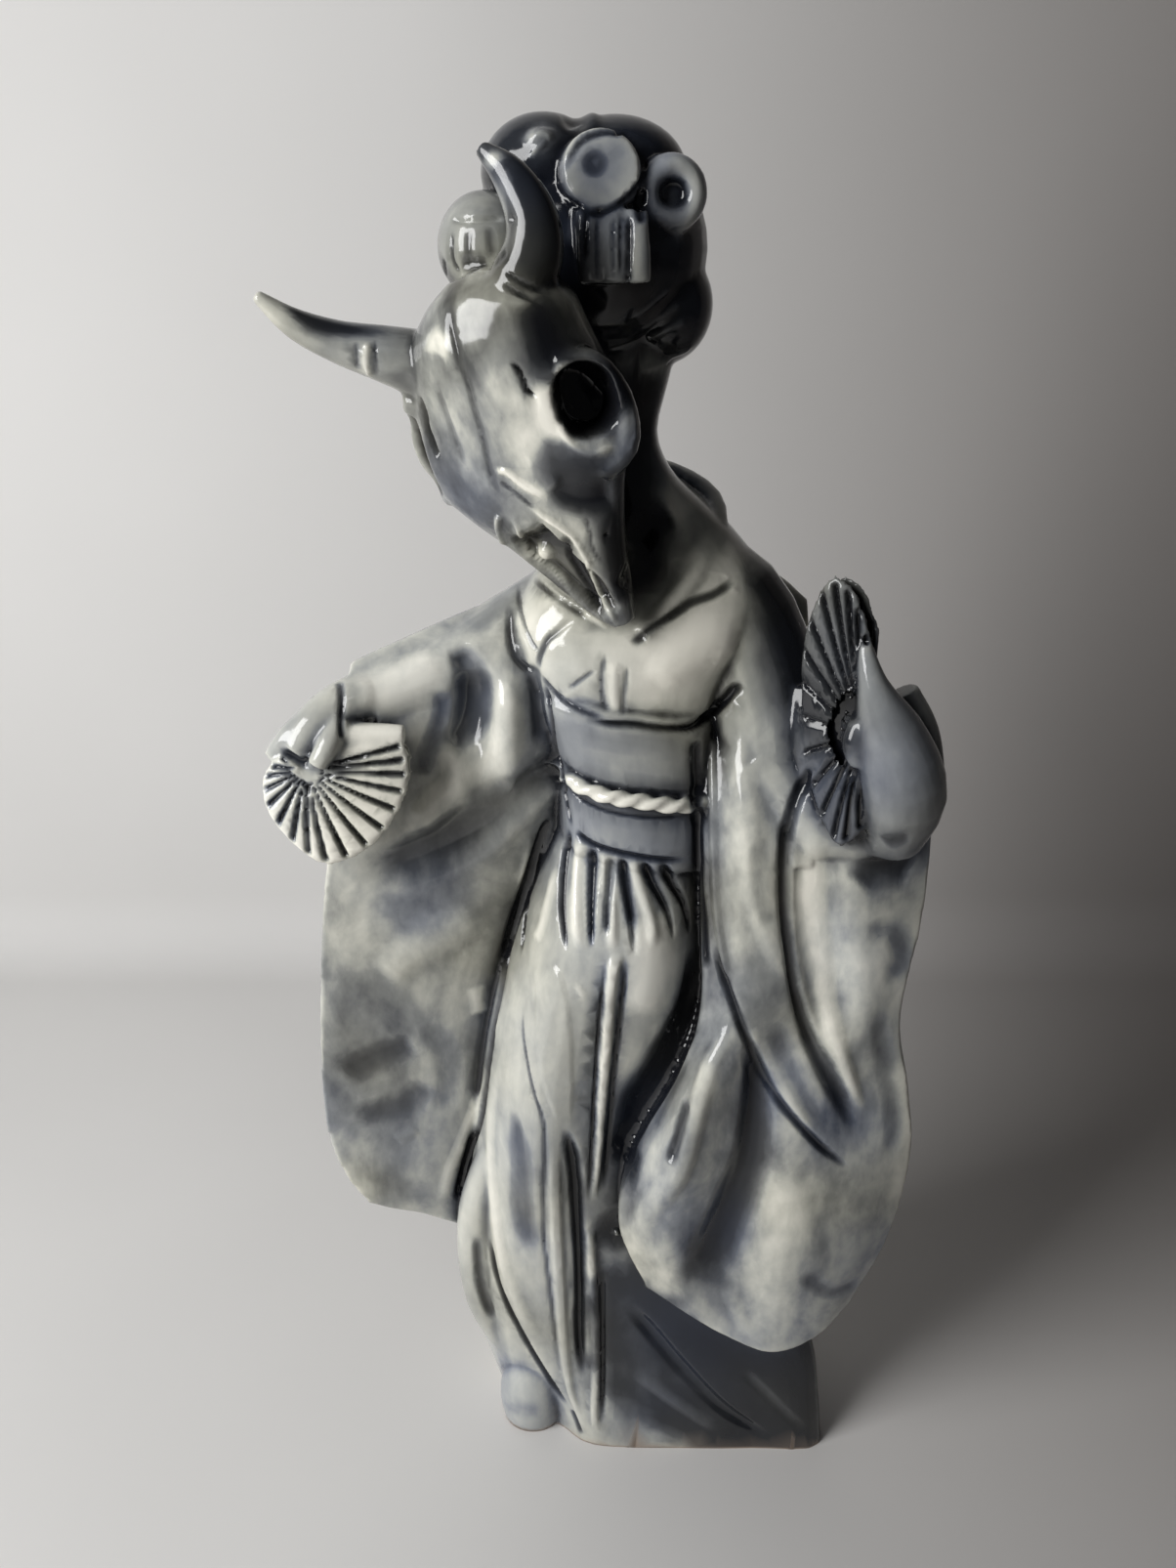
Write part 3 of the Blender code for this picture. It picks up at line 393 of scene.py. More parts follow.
# Skull stations: distance along, left and right edges, then the levels of the
# front, the widest line and the back
SKULL = [(-0.2, -0.6, 1.6, -2.0, -2.8, -4.0), (0.7, -2.6, 3.8, -0.7, -2.8, -5.6),
         (2.4, -4.7, 5.8, 0.1, -3.0, -6.8), (4.7, -5.9, 6.0, 0.4, -3.2, -7.2),
         (7.3, -7.1, 6.3, 0.3, -3.3, -7.2), (9.3, -7.6, 6.6, 0.1, -3.2, -6.6),
         (11.1, -7.0, 6.2, 0.0, -3.0, -5.8), (13.0, -5.6, 5.1, -0.1, -2.7, -5.2),
         (14.9, -4.0, 4.3, -0.3, -2.5, -4.8), (17.0, -2.4, 3.6, -0.4, -2.3, -4.4),
         (19.9, -0.5, 2.9, -0.7, -2.0, -3.8), (21.6, 0.9, 2.5, -1.2, -2.0, -3.0)]


def skull_ring(along, left, right, front, side, back):
    centre = (left + right) / 2
    half = (right - left) / 2
    ring = []
    for angle in np.linspace(0, 2 * math.pi, 32, endpoint=False):
        lift = math.sin(angle)
        reach = front - side if lift > 0 else side - back
        swell = math.copysign(abs(math.cos(angle)) ** 0.85, math.cos(angle))
        ring.append(skull_point(along, centre + half * swell, side + reach * lift))
    return ring


add_loft(smooth_path([skull_ring(*station) for station in SKULL], 40))

# Brow rim and cheek beside the sockets, and the horns
add_tube([skull_point(5.4, 4.6, -1.3), skull_point(6.4, 6.2, -2.2), skull_point(8.8, 6.6, -2.8),
          skull_point(11.2, 6.0, -2.6), skull_point(12.2, 4.4, -1.5)], (0.7, 0.8, 0.8, 0.8, 0.6))
add_tube([skull_point(4.6, -5.2, -1.6), skull_point(6.6, -6.7, -2.6), skull_point(9.2, -7.2, -2.8),
          skull_point(11.4, -6.2, -2.4)], (0.7, 0.8, 0.8, 0.7))
region("right_horn")
add_tube([(-10.2, -9.0, 89.6), (-9.7, -9.4, 91.6), (-8.9, -9.6, 93.6), (-9.1, -9.4, 95.4),
          (-10.2, -9.2, 97.2), (-11.7, -9.0, 98.5)], (2.1, 1.9, 1.65, 1.4, 1.0, 0.4), count=20)
region("left_horn")
add_tube([(-14.4, -6.0, 87.0), (-16.4, -6.2, 87.7), (-18.2, -6.6, 88.2), (-20.4, -7.0, 88.8),
          (-22.7, -7.5, 89.8), (-24.6, -8.0, 91.3)], (2.3, 1.85, 1.55, 1.2, 0.85, 0.35), count=20)

# Viewer's left fan and hand; a fan is its pivot, its rim, the way it faces and its two sizes
region("left_fan")
FAN_THICKNESS = 1.5
FAN_BULGE = 0.3
LEFT_FAN = (np.array((-24.4, -7.4, 62.6)),
            [(-23.7, -7.2, 64.2), (-20.0, -7.1, 64.8), (-17.9, -7.1, 64.2),
             (-17.6, -7.3, 62.2), (-18.4, -7.7, 59.7), (-20.5, -8.1, 57.1),
             (-23.4, -8.4, 56.0), (-25.7, -8.2, 57.5), (-27.3, -7.9, 60.0),
             (-27.3, -7.6, 62.2), (-26.0, -7.4, 63.6)],
            (0.03, -0.98, 0.14), FAN_THICKNESS, FAN_BULGE)
add_fan(*LEFT_FAN)
add_tube([(-17.9, -7.3, 64.9), (-20.6, -7.2, 64.8), (-23.4, -7.2, 64.6)], (0.6, 0.8, 0.9))
region("left_hand")
add_tube([(-19.6, -3.8, 66.4), (-22.0, -5.4, 66.2), (-24.0, -6.9, 65.2), (-25.2, -7.8, 63.8)],
         (1.8, 1.75, 1.4, 0.8))
add_tube([(-23.2, -6.6, 66.0), (-25.2, -7.2, 64.9), (-26.8, -7.2, 63.2)], (1.0, 0.85, 0.6))
add_tube([(-22.2, -7.0, 65.6), (-22.8, -8.3, 64.4), (-23.6, -8.7, 63.2)], (0.9, 0.8, 0.6))

# Viewer's right fan, seen nearly edge on, its hand and the cuff behind
region("right_fan")
RIGHT_FAN = (np.array((12.0, -8.9, 65.6)),
             [(11.6, -9.2, 72.4), (10.4, -8.8, 75.0), (9.0, -8.0, 75.4), (8.1, -7.0, 72.4),
              (8.0, -6.4, 68.4), (8.5, -6.6, 64.0), (9.4, -7.8, 60.2), (10.8, -9.0, 57.6),
              (12.4, -9.4, 58.8)],
             (-0.75, -0.65, 0.1), FAN_THICKNESS, FAN_BULGE)
add_fan(*RIGHT_FAN)
region("right_hand")
add_tube([(10.9, -9.6, 71.6), (11.6, -10.0, 69.0), (13.0, -9.6, 65.6), (14.4, -8.8, 61.6),
          (14.4, -6.6, 57.6)], (0.45, 1.0, 2.3, 2.9, 2.6))
add_tube([(11.0, -9.8, 66.6), (10.7, -10.0, 65.2), (11.2, -9.8, 63.8)], (0.7, 0.75, 0.6))
add_tube([(14.4, -6.6, 67.6), (15.8, -6.6, 64.6), (16.6, -6.6, 60.6)], (1.0, 1.3, 1.4))

# Clay that joins the fan's inner edge to the sleeve and the muzzle to the chest
add_tube([(8.4, -4.6, 67.4), (8.9, -5.4, 65.2), (9.3, -6.0, 62.6), (9.6, -6.6, 60.4)],
         (1.2, 1.7, 1.7, 1.3))
add_ball((-4.7, -6.4, 74.0), (1.2, 2.2, 1.4))


# One skin from all the forms
face_starts = [start for name, start in regions]
bmesh.ops.scale(forms, vec=(UNIT, UNIT, UNIT), verts=forms.verts[:])
source = bpy.data.meshes.new("forms")
forms.to_mesh(source)
form_tree = BVHTree.FromBMesh(forms)
forms.free()
figurine = bpy.data.objects.new("figurine_glazed", source)
bpy.context.scene.collection.objects.link(figurine)


def apply_modifiers(target):
    """Bake the modifier stack of an object into its mesh."""
    graph = bpy.context.evaluated_depsgraph_get()
    baked = bpy.data.meshes.new_from_object(target.evaluated_get(graph))
    target.modifiers.clear()
    target.data = baked
    return baked


remesh = figurine.modifiers.new("fuse", "REMESH")
remesh.mode = "VOXEL"
remesh.voxel_size = VOXEL
soften = figurine.modifiers.new("soften", "SMOOTH")
soften.factor = 0.5
soften.iterations = 5
skin = apply_modifiers(figurine)


def read_vectors(collection, name):
    values = np.empty(len(collection) * 3)
    collection.foreach_get(name, values)
    return values.reshape(-1, 3)


points = read_vectors(skin.vertices, "co") / UNIT
normals = read_vectors(skin.vertices, "normal")


def update_normals():
    skin.vertices.foreach_set("co", (points * UNIT).ravel())
    skin.update()
    normals[:] = read_vectors(skin.vertices, "normal")


def along_path(cloud, path, radii):
    """Distance of each point from the path as a share of its radius, and the place along it."""
    nearest = np.full(len(cloud), np.inf)
    where = np.full(len(cloud), 0.5)
    if len(path) == 1:
        return np.linalg.norm(cloud - path[0], axis=1) / radii[0], where
    for place in range(len(path) - 1):
        start = path[place]
        step = path[place + 1] - start
        share = np.clip((cloud - start) @ step / max(step @ step, 1e-9), 0, 1)
        gap = np.linalg.norm(cloud - start - np.outer(share, step), axis=1)
        gap = gap / (radii[place] + (radii[place + 1] - radii[place]) * share)
        closer = gap < nearest
        nearest[closer] = gap[closer]
        where[closer] = (place + share[closer]) / (len(path) - 1)
    return nearest, where


def near_path(cloud, path, radii):
    """Indices of the points within reach of the path, their shares of its radius and their places."""
    reach = max(radii)
    low = path.min(axis=0) - reach
    high = path.max(axis=0) + reach
    close = np.flatnonzero(((cloud > low) & (cloud < high)).all(axis=1))
    share, where = along_path(cloud[close], path, radii)
    inside = share < 1
    return close[inside], share[inside], where[inside]


WANDER_SCALE = 0.5
WANDER_SHARE = 0.35
wander = WANDER_SHARE * np.array([noise.noise(Vector(place) * WANDER_SCALE) for place in points])
# Stroke paint: how much each point is covered, and its tone, which is glaze colour, painted shade and
# painted highlights
cover = np.zeros(len(points))
glaze_and_painted_light = np.zeros(len(points))


def ease(share, soft):
    """Weight of a stroke from its share of the radius: full inside, running out at the edge."""
    weight = np.clip((1 - share) / soft, 0, 1)
    return weight * weight * (3 - 2 * weight)


def run_out(where, fade):
    """Weight along a stroke, running out over the share fade at each end."""
    return ease(np.abs(2 * where - 1), 2 * fade) if fade else 1.0


def stroke(keys, radius, depth=0.0, tone=None, strength=0.85, soft=0.9, fade=0.18, spread=1.3,
           direction=None):
    """Press (or raise, with a negative depth) the skin along a path and paint the glaze there.

    The paint is tone at that strength: glaze colour for some strokes, painted shade or a painted
    highlight for others. It reaches spread radii out, runs out over the outer share soft of its
    width and over the share fade of its length at each end.
    """
    keys = np.asarray(keys, float)
    count = 1 if len(keys) == 1 else 6 * len(keys)
    path = keys if count == 1 else smooth_path(keys, count)
    radii = np.interp(np.linspace(0, 1, count), np.linspace(0, 1, np.size(radius)),
                      np.atleast_1d(radius))
    if tone is not None:
        close, share, where = near_path(points, path, radii * spread)
        weight = ease(share * (1 + wander[close]), soft) * strength * run_out(where, fade)
        cover[close] = 1 - (1 - cover[close]) * (1 - weight)
        glaze_and_painted_light[close] = glaze_and_painted_light[close] * (1 - weight) + tone * weight
    if depth:
        close, share, where = near_path(points, path, radii)
        push = normals[close] if direction is None else unit_vector(direction)
        points[close] -= push * (ease(share, soft) * run_out(where, fade) * depth)[:, None]


FORWARD = np.array((0.0, math.cos(CAMERA_PITCH), -math.sin(CAMERA_PITCH)))
RIGHT = np.array((1.0, 0.0, 0.0))
DOWN = np.array((0.0, -math.sin(CAMERA_PITCH), -math.cos(CAMERA_PITCH)))
RAY_REACH = 200
LARGEST_STEP = 2.4
LONG_RUN = 6


def grow_tree(corners):
    """Search tree of the skin, whose faces all have that many corners."""
    faces = np.empty(len(skin.polygons) * corners, int)
    skin.polygons.foreach_get("vertices", faces)
    return BVHTree.FromPolygons(points.tolist(), faces.reshape(-1, corners).tolist())


def cast(pixel, tree):
    """The point of the skin that the picture shows at a pixel."""
    way = (FORWARD * FOCAL_PIXELS + RIGHT * (pixel[0] - PICTURE_WIDTH / 2)
           + DOWN * (pixel[1] - PICTURE_HEIGHT / 2))
    place = tree.ray_cast(Vector(CAMERA_PLACE), Vector(way).normalized(), RAY_REACH)[0]
    return None if place is None else np.array(place)


def thin_out(run):
    """Every second point of a long run."""
    return run[::2] if len(run) > LONG_RUN else run


def draw(pixels, radius, *details, **named):
    """A stroke along a smooth path through pixels of the picture, laid on the skin."""
    pixels = np.reshape(pixels, (-1, 2))
    if len(pixels) > 1:
        pixels = smooth_path(pixels, 5 * len(pixels))
    run = []
    for pixel in pixels:
        place = cast(pixel, skin_tree)
        if run and (place is None or np.linalg.norm(place - run[-1]) > LARGEST_STEP):
            if len(run) > 1:
                stroke(thin_out(run), radius, *details, **named)
            run = []
        if place is not None:
            run.append(place)
    if run:
        stroke(thin_out(run), radius, *details, **named)


def draw_all(rows):
    """Draw rows of pixels (x and y in turn), radius, depth, tone, strength, soft, fade, spread."""
    for row in rows:
        draw(*row)


# Eye sockets, nose opening and temple hollow of the skull, pressed before the picture is cast
stroke([skull_point(7.5, 5.5, -1.2), skull_point(8.3, 5.4, -1.2)], 1.85, 3.0, soft=0.35,
       direction=SKULL_OUT + 0.55 * SKULL_ACROSS, fade=0)
stroke([skull_point(6.6, -6.9, -1.6), skull_point(9.6, -7.3, -1.8)], 1.6, 1.4, soft=0.8, fade=0)
stroke([skull_point(13.6, -1.2, -0.4), skull_point(16.0, -0.7, -0.5), skull_point(18.6, 0.6, -0.6),
        skull_point(20.6, 1.4, -0.9)], (1.5, 1.9, 1.8, 1.0), 1.1, soft=0.35)
# Parting of the hair
stroke([(-6.6, -4.6, 99.8), (-6.7, -1.0, 101.2), (-6.6, 3.0, 99.8)], 1.1, 0.4)
# Broad swag of the viewer's left sleeve
stroke([(-13.4, -4.6, 68.4), (-13.2, -5.0, 64.0), (-12.8, -5.0, 58.0)], 2.2, 0.7)
update_normals()
skin_tree = grow_tree(4)

# Folds of the viewer's left sleeve
draw_all([
    ((360, 704, 410, 699, 455, 668), (1.4, 2.0, 1.4), -0.15, 1.0, 0.95),
    ((395, 770, 425, 745, 440, 700), (0.8, 1.2, 0.8), 0.0, 0.9, 0.7),
    ((464, 655, 484, 690, 480, 736, 452, 774), (0.8, 1.5, 1.7, 1.2), 0.6, 0.46),
    ((452, 700, 452, 730, 436, 772, 428, 796), (0.8, 0.9, 0.9, 0.8), 0.1, 0.3, 0.7),
    ((517, 665, 517, 730, 505, 774, 467, 802, 437, 830, 420, 862), (1.2, 1.6, 2.0, 1.9, 1.6, 1.0), -0.4,
     0.8),
    # Swag of the sleeve: pressed fold with painted shadow in its hollow
    ((577, 772, 548, 800, 514, 825, 472, 852, 417, 878, 345, 905), (1.3, 2.0, 2.4, 2.6, 2.6, 2.0), 0.9,
     0.36, 0.9),
    ((547, 672, 550, 715, 553, 760), 0.7, 0.25, 0.42),
    ((347, 690, 350, 713, 349, 736, 350, 752), 0.3, 0.25, 0.35, 0.85, 0.9, 0.05),
    ((520, 600, 500, 625, 470, 645), 1.0, 0.0, 0.45, 0.6),
    ((340, 900, 338, 960, 340, 1020), 1.2, 0.0, 0.5, 0.6),
    ((380, 940, 440, 905, 500, 870, 540, 850), (1.2, 1.6, 1.6, 1.0), -0.1, 0.52, 0.7),
    ((390, 1000, 430, 965, 500, 930), (1.6, 2.4, 1.8), -0.25, 0.8, 0.7),
    ((350, 1100, 390, 1080, 425, 1065), (1.5, 2.0, 1.2), 0.25, 0.24, 0.8),
    ((360, 1140, 410, 1130, 440, 1105), (1.2, 2.0, 1.4), 0.15, 0.26, 0.75),
    ((370, 1040, 420, 1030), 1.6, 0.0, 0.45, 0.6),
    ((440, 1040, 460, 1090, 455, 1140), 1.4, 0.15, 0.42, 0.6),
    ((405, 1165, 430, 1150), 0.9, -0.1, 0.62, 0.7),
    ((488, 1005, 492, 1040), 0.9, -0.1, 0.8, 0.6),
    ((500, 1100, 480, 1150, 460, 1200, 452, 1240), 0.8, -0.1, 0.85, 0.7),
    ((380, 1200, 420, 1215, 445, 1225), 1.5, 0.0, 0.42, 0.6),
    ((562, 832, 538, 905, 517, 985, 502, 1070, 492, 1140, 477, 1190, 463, 1250), (0.5, 0.7, 0.7, 0.6,
     0.6, 0.6, 0.5), 0.5, 0.06, 0.92, 0.9, 0.05),
])

# Chest, collar and armpit
draw_all([
    ((521, 585, 522, 642, 526, 665, 535, 677, 550, 685), 0.4, 0.22, 0.25),
    ((532, 582, 531, 610, 537, 637, 545, 655, 552, 662), 0.22, 0.15, 0.35),
    ((590, 627, 572, 642, 560, 652, 552, 670, 551, 682), 0.32, 0.18, 0.3),
    ((610, 682, 595, 692, 582, 702), 0.18, 0.12, 0.35),
    ((552, 685, 565, 702, 582, 715, 600, 725, 622, 732), 0.25, 0.2, 0.25),
    ((620, 662, 616, 690, 617, 710, 622, 730), 0.18, 0.14, 0.35),
    ((642, 677, 640, 700, 637, 732), 0.16, 0.12, 0.4),
    ((629, 672, 629, 700, 630, 728), 0.5, -0.12, 0.95),
    ((644, 656, 655, 650, 670, 637, 690, 625, 710, 612, 730, 605, 745, 596, 755, 587), 0.4, 0.22, 0.22),
    ((722, 581, 742, 584, 749, 597, 762, 607), 0.1, -0.06, 1.0),
    ((680, 560, 720, 540, 752, 560), 1.3, 0.1, 0.45, 0.6),
    # Painted shadow between the muzzle and the neck
    ((690, 520, 660, 540, 640, 600), 1.2, 0.3, 0.12),
    ((670, 700, 700, 670, 735, 655, 745, 690), (1.4, 2.2, 2.2, 1.4), -0.2, 1.0, 0.9),
    ((565, 600, 575, 625, 590, 665, 600, 700), 1.1, -0.08, 0.84),
    ((715, 585, 735, 560), 1.4, 0.0, 0.75, 0.7),
    # Right shoulder and arm: dark paint, partly dark glaze and partly painted shade on the side away
    # from the window
    ((770, 560, 795, 610, 808, 660, 825, 710, 836, 762), (1.5, 2.4, 2.4, 1.8, 1.0), 0.1, 0.05, 0.95),
    ((772, 640, 790, 700, 800, 740), 1.4, 0.0, 0.45, 0.5),
])

# Sash, its cord and the pleats under it
draw_all([
    ((595, 730, 622, 737, 650, 738, 682, 742, 710, 740, 727, 727, 740, 715, 752, 702, 765, 698), (0.3,
     0.32, 0.32, 0.32, 0.4, 0.5, 0.5, 0.5, 0.35), 0.5, 0.05),
    # Painted shadow band under the cord
    ((590, 745, 640, 755, 708, 756), 1.0, 0.0, 0.45, 0.75),
    ((600, 785, 650, 792, 700, 790), 0.9, 0.0, 0.75, 0.6),
    ((610, 845, 660, 858, 710, 860), 1.0, 0.0, 0.62, 0.7),
    ((557, 690, 562, 715, 567, 750, 572, 775, 577, 800, 581, 825, 586, 845), 0.28, 0.25, 0.12),
    ((597, 700, 570, 712), 0.4, -0.05, 0.9),
    ((588, 845, 600, 857, 620, 866, 650, 873, 680, 877, 715, 876), 0.32, 0.35, 0.04),
    ((574, 774, 585, 784, 602, 794, 630, 803, 665, 807, 702, 806), 0.16, 0.12, 0.12),
    ((578, 799, 595, 814, 620, 826, 650, 832, 685, 833, 704, 828), 0.2, 0.15, 0.08),
    # Painted deep shadow in the gap between the sash and the right sleeve's lip
    ((712, 752, 713, 800, 715, 850, 717, 885, 719, 940, 722, 1000), 0.6, 0.25, 0.0, 1.0, 0.9, 0.05),
    ((729, 748, 730, 800, 731, 860, 734, 930, 745, 1000), 0.45, -0.2, 0.5, 0.85, 0.9, 0.05),
])
PLEATS = np.array([(584, 844, 577, 880, 575, 930, 582, 980), (607, 860, 606, 890, 605, 930, 606, 980),
                   (637, 872, 640, 900, 647, 940, 650, 985), (657, 876, 668, 900, 684, 930, 690, 965),
                   (677, 878, 688, 900, 702, 925, 706, 960), (562, 834, 548, 880, 538, 930, 532, 985),
                   (625, 868, 624, 900, 622, 935, 622, 960)])
PLEAT_RADII = (0.5, 0.5, 0.4, 0.2)
for pleat in PLEATS:
    draw(pleat, PLEAT_RADII, 0.4, 0.12, 0.8)
for ridge in (PLEATS[:3] + PLEATS[1:4]) / 2:
    draw(ridge, 0.6, -0.25, 0.97, 0.8)

# Skirt: hip hollow, front panels, strips and train
draw_all([
    ((708, 960, 704, 1020, 684, 1080, 655, 1130, 640, 1200, 632, 1260), (0.6, 1.2, 2.2, 2.6, 2.2, 1.4),
     0.4, 0.05, 0.97),
    # Painted light: the hip, which faces away from the window, painted full pale over a slight rise
    ((660, 930, 676, 985, 654, 1040), (2.0, 2.8, 1.6), -0.15, 1.0, 0.95),
    ((725, 1040, 700, 1085, 675, 1130, 650, 1175), (0.3, 0.4, 0.4, 0.5), -0.15, 0.45),
    ((705, 1120, 695, 1160, 685, 1190), 0.6, 0.35, 0.03),
    # Painted reflection of the window on the thigh, over a slight rise
    ((556, 985, 562, 1010, 566, 1060, 572, 1110, 578, 1150), (1.3, 1.5, 1.6, 1.2, 0.5), -0.12, 0.76,
     0.95, 0.3),
    ((598, 1010, 590, 1014), 0.5, -0.06, 0.9, 0.95, 0.3),
    ((535, 1020, 536, 1060, 545, 1110, 557, 1150, 557, 1200, 556, 1250, 561, 1300, 567, 1350, 572,
     1410), 0.14, 0.14, 0.22),
    # Raised strip painted pale: partly the strip's glaze, partly painted reflection of the window along
    # this fold
    ((633, 968, 626, 1000, 621, 1060, 616, 1120, 612, 1180, 607, 1240), (0.55, 0.52, 0.5, 0.45, 0.36,
     0.3), -0.42, 0.95, 0.85, 0.5),
    ((622, 980, 614, 1040, 609, 1110, 606, 1170, 603, 1230), 0.24, 0.25, 0.05),
    ((642, 975, 636, 1030, 629, 1090, 624, 1150, 618, 1220), 0.3, 0.25, 0.05),
    ((606, 1255, 604, 1275, 608, 1320, 611, 1380, 609, 1440, 611, 1470), (0.35, 0.5, 0.42, 0.4, 0.4,
     0.4), -0.35, 0.8, 0.85, 0.5),
    ((568, 1160, 568, 1220, 572, 1300, 577, 1370, 584, 1420, 600, 1465), (0.5, 0.6, 0.6, 0.5, 0.45,
     0.35), -0.25, 0.78, 0.85, 0.6),
    # Painted deep shadow in the hollow between the strips
    ((578, 1150, 588, 1190, 592, 1250, 594, 1310, 594, 1370, 598, 1420), (0.5, 0.75, 0.7, 0.6, 0.6,
     0.4), 0.6, 0.05, 0.92),
    ((592, 1320, 590, 1332, 595, 1345), 0.14, -0.14, 0.9),
    ((585, 1440, 597, 1470), 0.3, 0.2, 0.2),
    ((525, 1130, 532, 1180, 535, 1240, 545, 1290), (0.6, 1.3, 1.5, 1.0), 0.2, 0.3, 0.75),
    ((507, 1090, 502, 1150, 505, 1220, 515, 1290, 535, 1340, 555, 1380), 0.9, -0.2, 0.84, 0.7),
    ((500, 1260, 510, 1310, 530, 1355, 556, 1400, 583, 1440), 0.35, 0.35, 0.06),
    ((488, 1260, 492, 1310, 505, 1350), 0.55, 0.25, 0.3),
    ((515, 1436, 530, 1440, 555, 1440), 0.8, 0.0, 0.5, 0.7),
    ((545, 850, 530, 930, 512, 1010, 505, 1080), 0.55, -0.15, 0.9, 0.6),
    ((570, 880, 556, 940, 548, 960), 0.6, -0.1, 0.95, 0.6),
    ((618, 1290, 617, 1350, 617, 1400, 616, 1465), 0.3, 0.3, 0.06),
    # Train: dark paint, partly its dark glaze and partly painted shade
    ((650, 1330, 690, 1390, 750, 1430, 825, 1462), (4.0, 5.6, 6.0, 5.0), 0.0, 0.16, 1.0, 0.4, 0),
    ((700, 1365, 770, 1395, 836, 1400), (2.4, 3.4, 3.6), 0.0, 0.08, 1.0, 0.9, 0),
    ((825, 1380, 832, 1420, 838, 1462), 2.4, 0.0, 0.06, 1.0, 0.9, 0),
    ((640, 1420, 700, 1445, 800, 1468), (1.8, 2.8, 2.8), 0.0, 0.1, 0.9, 0.5, 0),
    ((690, 1400, 720, 1425, 760, 1455), 0.7, 0.0, 0.34, 0.7),
    ((640, 1310, 650, 1400, 660, 1465), 1.6, 0.0, 0.28, 0.8),
    ((640, 1330, 670, 1365, 700, 1400, 740, 1440, 790, 1470), (0.8, 1.0, 1.0, 0.9, 0.5), 0.4, 0.16,
     0.8),
    ((650, 1400, 690, 1430, 740, 1462), 0.9, -0.2, 0.42, 0.6),
    ((760, 1400, 790, 1430, 825, 1465), 0.7, 0.2, 0.3, 0.6),
])

# Folds of the viewer's right sleeve
draw_all([
    ((750, 740, 762, 800, 770, 870, 785, 940, 810, 1010), (0.9, 1.3, 1.5, 1.4, 0.9), -0.25, 0.76, 0.7),
    ((838, 775, 822, 800, 806, 850, 804, 900, 806, 950, 815, 1010, 830, 1060, 855, 1110, 880, 1165),
     (0.4, 0.6, 0.65, 0.7, 0.7, 0.6, 0.8, 1.0, 0.5), 0.55, 0.36),
    ((780, 850, 778, 900, 790, 950), 0.9, 0.15, 0.45, 0.5),
    ((835, 830, 832, 900, 836, 960, 850, 1040, 870, 1100, 890, 1150), (0.9, 1.3, 1.4, 1.1, 0.8, 0.5),
     -0.3, 1.0),
    ((885, 955, 915, 950, 925, 985, 895, 995), 1.3, 0.1, 0.27, 0.7),
    ((878, 905, 905, 885, 935, 890), (1.4, 2.2, 1.6), 0.2, 0.16),
    ((905, 860, 935, 855), 1.0, 0.1, 0.12, 0.7),
    ((900, 1020, 905, 1080, 915, 1140, 910, 1200), 1.0, 0.1, 0.38, 0.5),
    ((730, 960, 745, 1010, 770, 1070, 795, 1120, 840, 1170, 880, 1200), (0.4, 0.5, 0.5, 0.5, 0.5, 0.3),
     0.35, 0.2, 0.8),
    ((790, 1040, 815, 1100, 850, 1160), 1.1, 0.15, 0.36, 0.7),
    ((750, 1050, 725, 1090, 710, 1150, 695, 1200, 660, 1240, 650, 1280), (0.8, 1.0, 1.1, 1.1, 1.4, 1.4),
     -0.3, 0.74, 0.7),
    ((765, 1060, 775, 1110, 770, 1180, 752, 1230, 728, 1280, 715, 1330), (0.7, 1.3, 1.8, 2.3, 2.6, 1.8),
     0.6, 0.15, 0.9),
    ((800, 1180, 820, 1250, 840, 1310), 1.6, -0.1, 0.6, 0.5),
    ((745, 1310, 760, 1350, 790, 1375), 0.9, -0.1, 0.68, 0.5),
    ((820, 1300, 850, 1320, 880, 1310), 1.0, 0.15, 0.36, 0.5),
])

